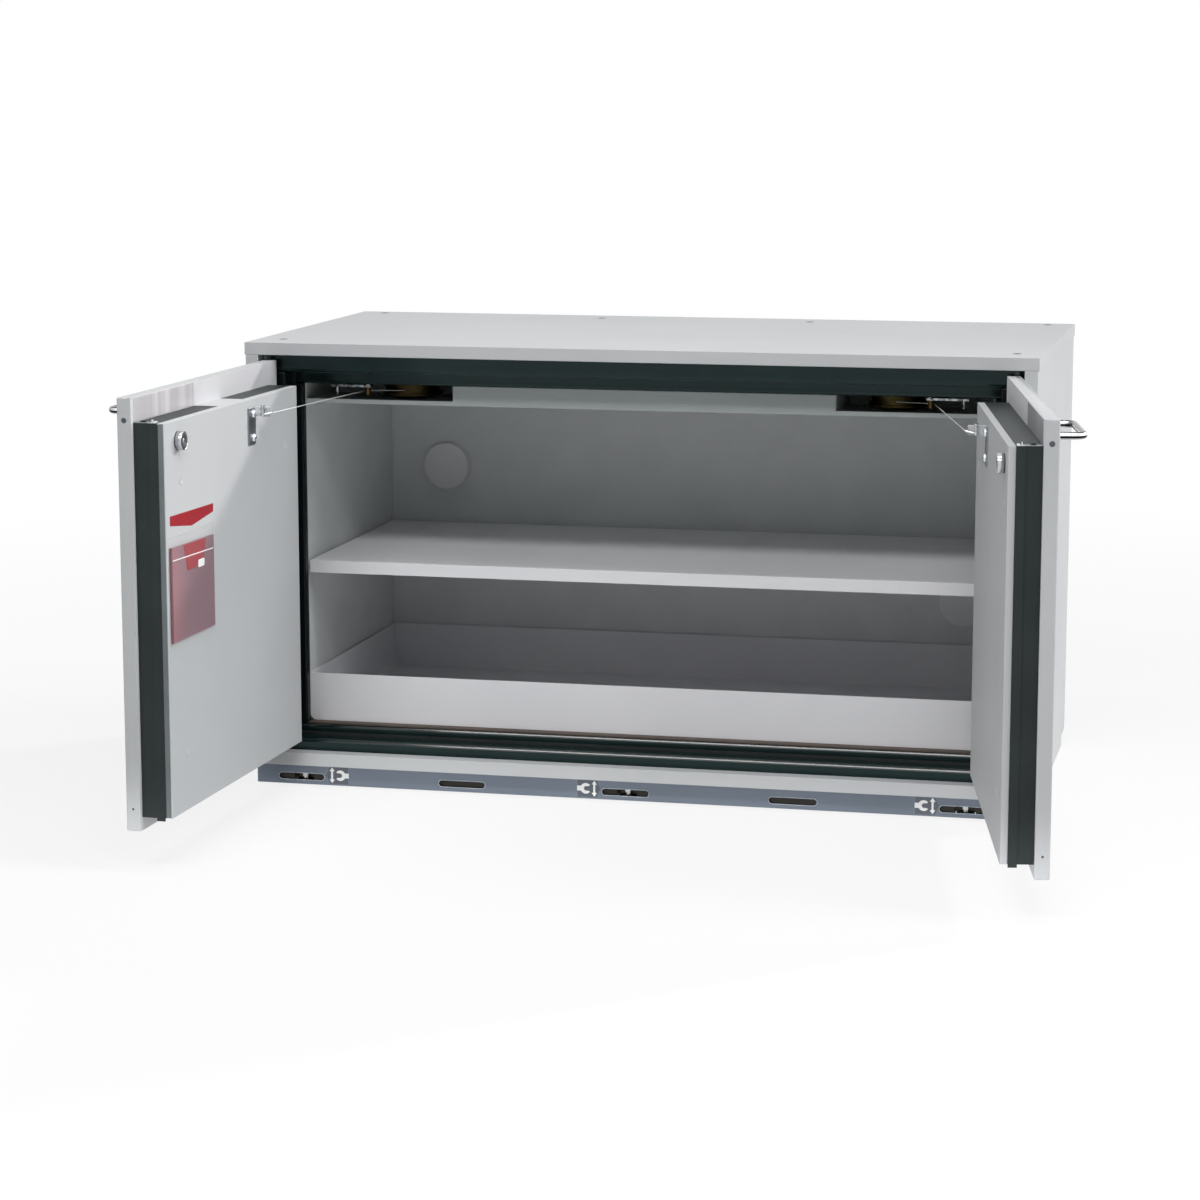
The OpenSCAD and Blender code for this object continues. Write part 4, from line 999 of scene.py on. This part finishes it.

# %% [markdown]
# ## Cover plates and edge clips
# Inside each door a glossy lacquered plate covers the handle's fixings above the plug. Its soft upright
# streaks, which noise gives when it is stretched along z, are a painted reflection. The left plate is
# painted paler than the door, as painted light against the shade above the plug, and the right one is a
# darker copy, painted shade for the darker room that it mirrors. The dark strip on the free edge is capped
# by a small bright clip with bent tabs. On the left door a grey strip on the panel's free edge, dark nearer
# the outer face, is painted shade along that edge. All have one outline along their length, so they are
# plates.

# %% Cover plates and edge clips
STREAK_MM = 32
STREAKS = (1, 1, 0.03)  # draws noise out along z
BRUSH_MM = 6
PLUG_TOP = 574.4  # z of the plug's upper side, with the clip on it
# painted shade: the left door's strip over the panel's free edge, darker nearer the outer face, stands for
# the shade along that edge
SHADE_STRIP_BACK = 52  # the bead is dark nearer to the outer face than this
SHADE_STRIP_HEIGHTS = (73, 572.5)
COVER_SHAPE = [(314, 574.6), (517, 574.6), (517, 604.2), (314, 604.2)]
CLIP_SHAPE = [(509, 19.4), (518, 19.4), (518, 38.8), (519.9, 39.2), (519.9, 49.8), (509, 49.8)]
HIGH_TAB = [(511, PLUG_TOP), (518, PLUG_TOP), (517, 578.4), (512.5, 577.6)]
LOW_TAB = [(513, PLUG_TOP), (519.4, PLUG_TOP), (519.4, 576.2), (513, 576.0)]
STOP_SHAPE = [(508.5, PLUG_TOP), (515, PLUG_TOP), (515, 576.4), (508.5, 575.8)]
SHADE_STRIP_SHAPE = [(518.05, 50.1), (520, 50.1), (520, 52), (519.5, 54.5), (518.7, 56.8), (518.05, 58)]


def glossy_cover(name, tone, reflection_tone):
    """A glossy plate with soft upright streaks of another tone, which are a painted reflection."""
    finish, tree, shader, place = new_finish(name, IOR=1.5, Roughness=0.2)
    streak = add(tree, "Mapping", {"Vector": place, "Scale": STREAKS}).outputs[0]
    two_tones(tree, streak, shader, tone, reflection_tone, STREAK_MM, detail=2.0, contrast=(0.5, 0.68))
    uneven(tree, streak, shader, BRUSH_MM, depth_mm=0.02, strength=0.5)
    return finish


# painted light and shade: the left plate is paler than the door, the right one a darker copy, each with
# streaks of painted reflection
cover_gloss = {
    "left": glossy_cover("glossy cover plate", "#C6C3C5", "#DEDCDE"),
    "right": glossy_cover("glossy cover plate, darker", "#A9A8AA", "#B8B7B9"),
}
# painted shade: the grey of that strip on the left panel's free edge
painted_shade_grey = grained(
    "grey edge bead", "#6C7273", "#62686A", 2.0, 0.03, UPRIGHT_LINES, Roughness=0.5, Specular_IOR_Level=0.3
)
for side in sides:
    door_plates = [
        ("_handle_cover", [(COVER_SHAPE, 18.5, 19.1, 0.2)], "zinc", cover_gloss[side]),
        ("_edge_clip", [(CLIP_SHAPE, PLUG_TOP - 0.8, PLUG_TOP, 0.15, "Z")], "zinc", zinc_plate),
        ("_clip_tabs", [(HIGH_TAB, 43.0, 43.8, 0.1), (LOW_TAB, 46.2, 49.4, 0.3)], "zinc", bright_zinc),
        ("_clip_stop", [(STOP_SHAPE, 27, 33, 0.3)], "dark_plastic", pad_plastic),
    ]
    for name, cuts, slot, finish in door_plates:
        bm = bmesh.new()
        for cut in cuts:
            plate(bm, *cut)
        make_piece(side + name, bm, on_door[side], side + "_door", slot, finish)
# painted shade on the left door's free edge, its outer part in the dark edge plastic
bm = bmesh.new()
plate(bm, SHADE_STRIP_SHAPE, *SHADE_STRIP_HEIGHTS, axis="Z")
painted_shade_strip = make_piece("left_edge_bead", bm, on_door["left"], "left_door", "edge_strip", painted_shade_grey)
second_coat(painted_shade_strip, edge_plastic, lambda face: door_depth("left", face.center) < SHADE_STRIP_BACK)
print("cover plates, clips and the bead")

# %% [markdown]
# ## Rivets on the back
# The rear sheet is held by blind rivets along its edges. Each has a low dome with the hole that the mandrel
# leaves, so its profile dips in the middle.

# %% Rivets on the back
REAR_FACE = 572.5
RIVET_PROFILE = [
    (0, -0.2), (3.2, -0.2), (3.2, 0.25), (2.7, 0.8), (1.8, 1.1), (1.1, 1.1), (0.9, 0.3), (0, 0.3)
]
rivet_spots = [(x, z) for x in (-525, -315, -105, 105, 315, 525) for z in (100, 600)]
rivet_spots += [(x, z) for x in (-525, 525) for z in (225, 350, 475)]
bm = bmesh.new()
for x, z in rivet_spots:
    turned(bm, (x, REAR_FACE, z), RIVET_PROFILE, steps=16)
make_piece("rear_rivets", bm, on_cabinet, "cabinet", "zinc", zinc_plate)
print(len(rivet_spots), "rivets")

# %% [markdown]
# ## Label and booklet
# A plain red vinyl banner sits on the left door, and below it a booklet with a mauve cover. Vinyl has a low
# sheen, and paper is dull with faint fibres. The cover is redder near its spine and fades towards its
# middle, which a gradient across the door gives. Banner and booklet carry shapes only. Paper and vinyl lie
# flat, so each is a thin plate, and printed shapes are thinner ones on it.

# %% Vinyl and paper
FIBRE_MM = 1.5
SPINE_U = 511
FADED_U = 445
red_vinyl = grained("red vinyl", "#A01C27", "#981924", 2.0, 0.01, Roughness=0.35)
spine_red = grained("red paper spine", "#6E353D", "#662F37", 1.5, 0.02, Roughness=0.6)

mauve_cover, tree, shader, place = new_finish("mauve paper cover", Roughness=0.6)
spine_y, faded_y = ((on_door["left"] @ Vector((u, 60, 0))).y for u in (SPINE_U, FADED_U))
across = add(tree, "SeparateXYZ", {0: place}).outputs["Y"]
span = {"Value": across, "From Min": spine_y, "From Max": faded_y}
fade = add(tree, "MapRange", span, interpolation_type="SMOOTHSTEP").outputs[0]
faded = add(tree, "Mix", {0: fade, MIX_A: linear("#95676F"), MIX_B: linear("#7F6169")}, data_type="RGBA")
tree.links.new(faded.outputs[MIX_RESULT], shader.inputs["Base Color"])
uneven(tree, place, shader, FIBRE_MM, depth_mm=0.02, strength=0.6)
print("red vinyl, a red spine and a mauve cover")

# %% Label and booklet
BAR_SHAPE = [(508, 399.2), (369, 395.9), (369, 397.2), (508, 400.5)]
PILL = (411, 383.8)  # middle of the rounded mark
PILL_HALF = (8, 2.5)
PILL_ROUND = 2.5


def laid_flat(name, outlines, low, high, round_off, slot, finish, *stands_for):
    """A piece of flat plates on the left door's inner panel, from v = low to v = high."""
    bm = bmesh.new()
    for outline in outlines:
        plate(bm, outline, low, high, round_off)
    make_piece(name, bm, on_door["left"], "left_door", slot, finish, *stands_for)


banner = [(506, 455.5), (357.5, 453.0), (357.5, 442.5), (433, 434.5), (506, 443.5)]
laid_flat("label_banner", [banner], PANEL_FACE, 59.7, 0, "film", red_vinyl)
pages = [(365, 295), (SPINE_U, 295), (SPINE_U, 416), (365, 413.5)]
laid_flat("booklet_pages", [pages], 60.6, 62.6, 0.5, "paper", mauve_cover, "booklet")
spine = [(507.5, 295), (511.3, 295), (511.3, 416.2), (507.5, 416.2)]
laid_flat("booklet_spine", [spine], 60.5, 62.75, 0.4, "paper", spine_red)
tab = [(470, 414.7), (393, 413.4), (405.4, 381.6), (457.4, 379.9)]
laid_flat("booklet_tab", [tab], 62.65, 62.9, 0, "paper", red_vinyl)
pill = []
for degrees in range(0, 360, 15):
    c, s = math.cos(math.radians(degrees)), math.sin(math.radians(degrees))
    u = PILL[0] + PILL_HALF[0] * math.copysign(1, c) + PILL_ROUND * c
    z = PILL[1] + PILL_HALF[1] * math.copysign(1, s) + PILL_ROUND * s
    pill.append((u, z))
laid_flat("booklet_marks", [BAR_SHAPE, pill], 62.95, 63.1, 0, "paper", print_white)
print("banner and booklet")

# %% [markdown]
# ## Pocket
# The booklet stands in a pocket of soft clear PVC film, welded along its sides and foot, and lets the film
# bulge. A glass shader would be slow and too dark, so the film is a thin skin that lets most light through,
# with slow ripples that break up its gloss. It is drawn as a grid of columns and rows over the booklet, and
# the welds and the upper edge are thin bars.

# %% Pocket film
RIPPLE_MM = 35
TINT_MM = 40


def clear_film(name, alpha):
    """Clear PVC with slow ripples; alpha is how much of the light one skin stops."""
    finish, tree, shader, place = new_finish(name, IOR=1.53, Roughness=0.14, Alpha=alpha)
    two_tones(tree, place, shader, "#E6DCDF", "#DDD0D4", TINT_MM)
    uneven(tree, place, shader, RIPPLE_MM, depth_mm=0.6, strength=0.6, detail=2.0)
    return finish


pocket_pvc = clear_film("clear PVC film", 0.04)
weld_pvc = clear_film("welded PVC seam", 0.08)
print("clear film and its welded seam")

# %% Pocket
FILM_MM = 0.2
FILM_FOOT = 60.0  # v where the film meets the door
LEFT_U = 361
RIGHT_U = 515
WELD_V = 60.2
BULGE = 0.9
WELD_RADIUS = 0.5

# u of each column, and v where the film stands furthest out
columns = [(LEFT_U, 60.0), (363, 60.6), (364.4, 62.8)]
columns += [(366 + 144 * k / 12, 63.4 + BULGE * math.sin(math.pi * k / 12)) for k in range(13)]
columns += [(511.8, 62.8), (513, 60.6), (RIGHT_U, 60.0)]
# z of each row, and how far out it stands, as a share of that
rows = [(292.4, 0), (294.2, 0.9)]
rows += [(296 + 118 * k / 10, 1) for k in range(11)]
rows += [(420, 0.85), (425, 0.6), (429.5, 0.45)]
bm = bmesh.new()
grid = []
for u, v in columns:
    grid.append([bm.verts.new((u, FILM_FOOT + (v - FILM_FOOT) * lift, z)) for z, lift in rows])
for near, far in zip(grid, grid[1:]):
    for k in range(len(rows) - 1):
        face = bm.faces.new((near[k], far[k], far[k + 1], near[k + 1]))
        face.smooth = True
bmesh.ops.recalc_face_normals(bm, faces=bm.faces)
bmesh.ops.solidify(bm, geom=list(bm.faces), thickness=FILM_MM)
make_piece("pocket_film", bm, on_door["left"], "left_door", "film", pocket_pvc, "document_pocket")

weld = [(LEFT_U, WELD_V, 429), (LEFT_U, WELD_V, 293), (RIGHT_U, WELD_V, 293), (RIGHT_U, WELD_V, 429)]
upper_edge = [(LEFT_U, 61.4, 429), (438, 62.2, 428.6), (RIGHT_U, 61.4, 429)]
bm = bmesh.new()
for seam in (weld, upper_edge):
    tube(bm, seam, WELD_RADIUS, facets=6)
make_piece("pocket_welds", bm, on_door["left"], "left_door", "film", weld_pvc)
print("pocket of", len(columns), "by", len(rows), "points")
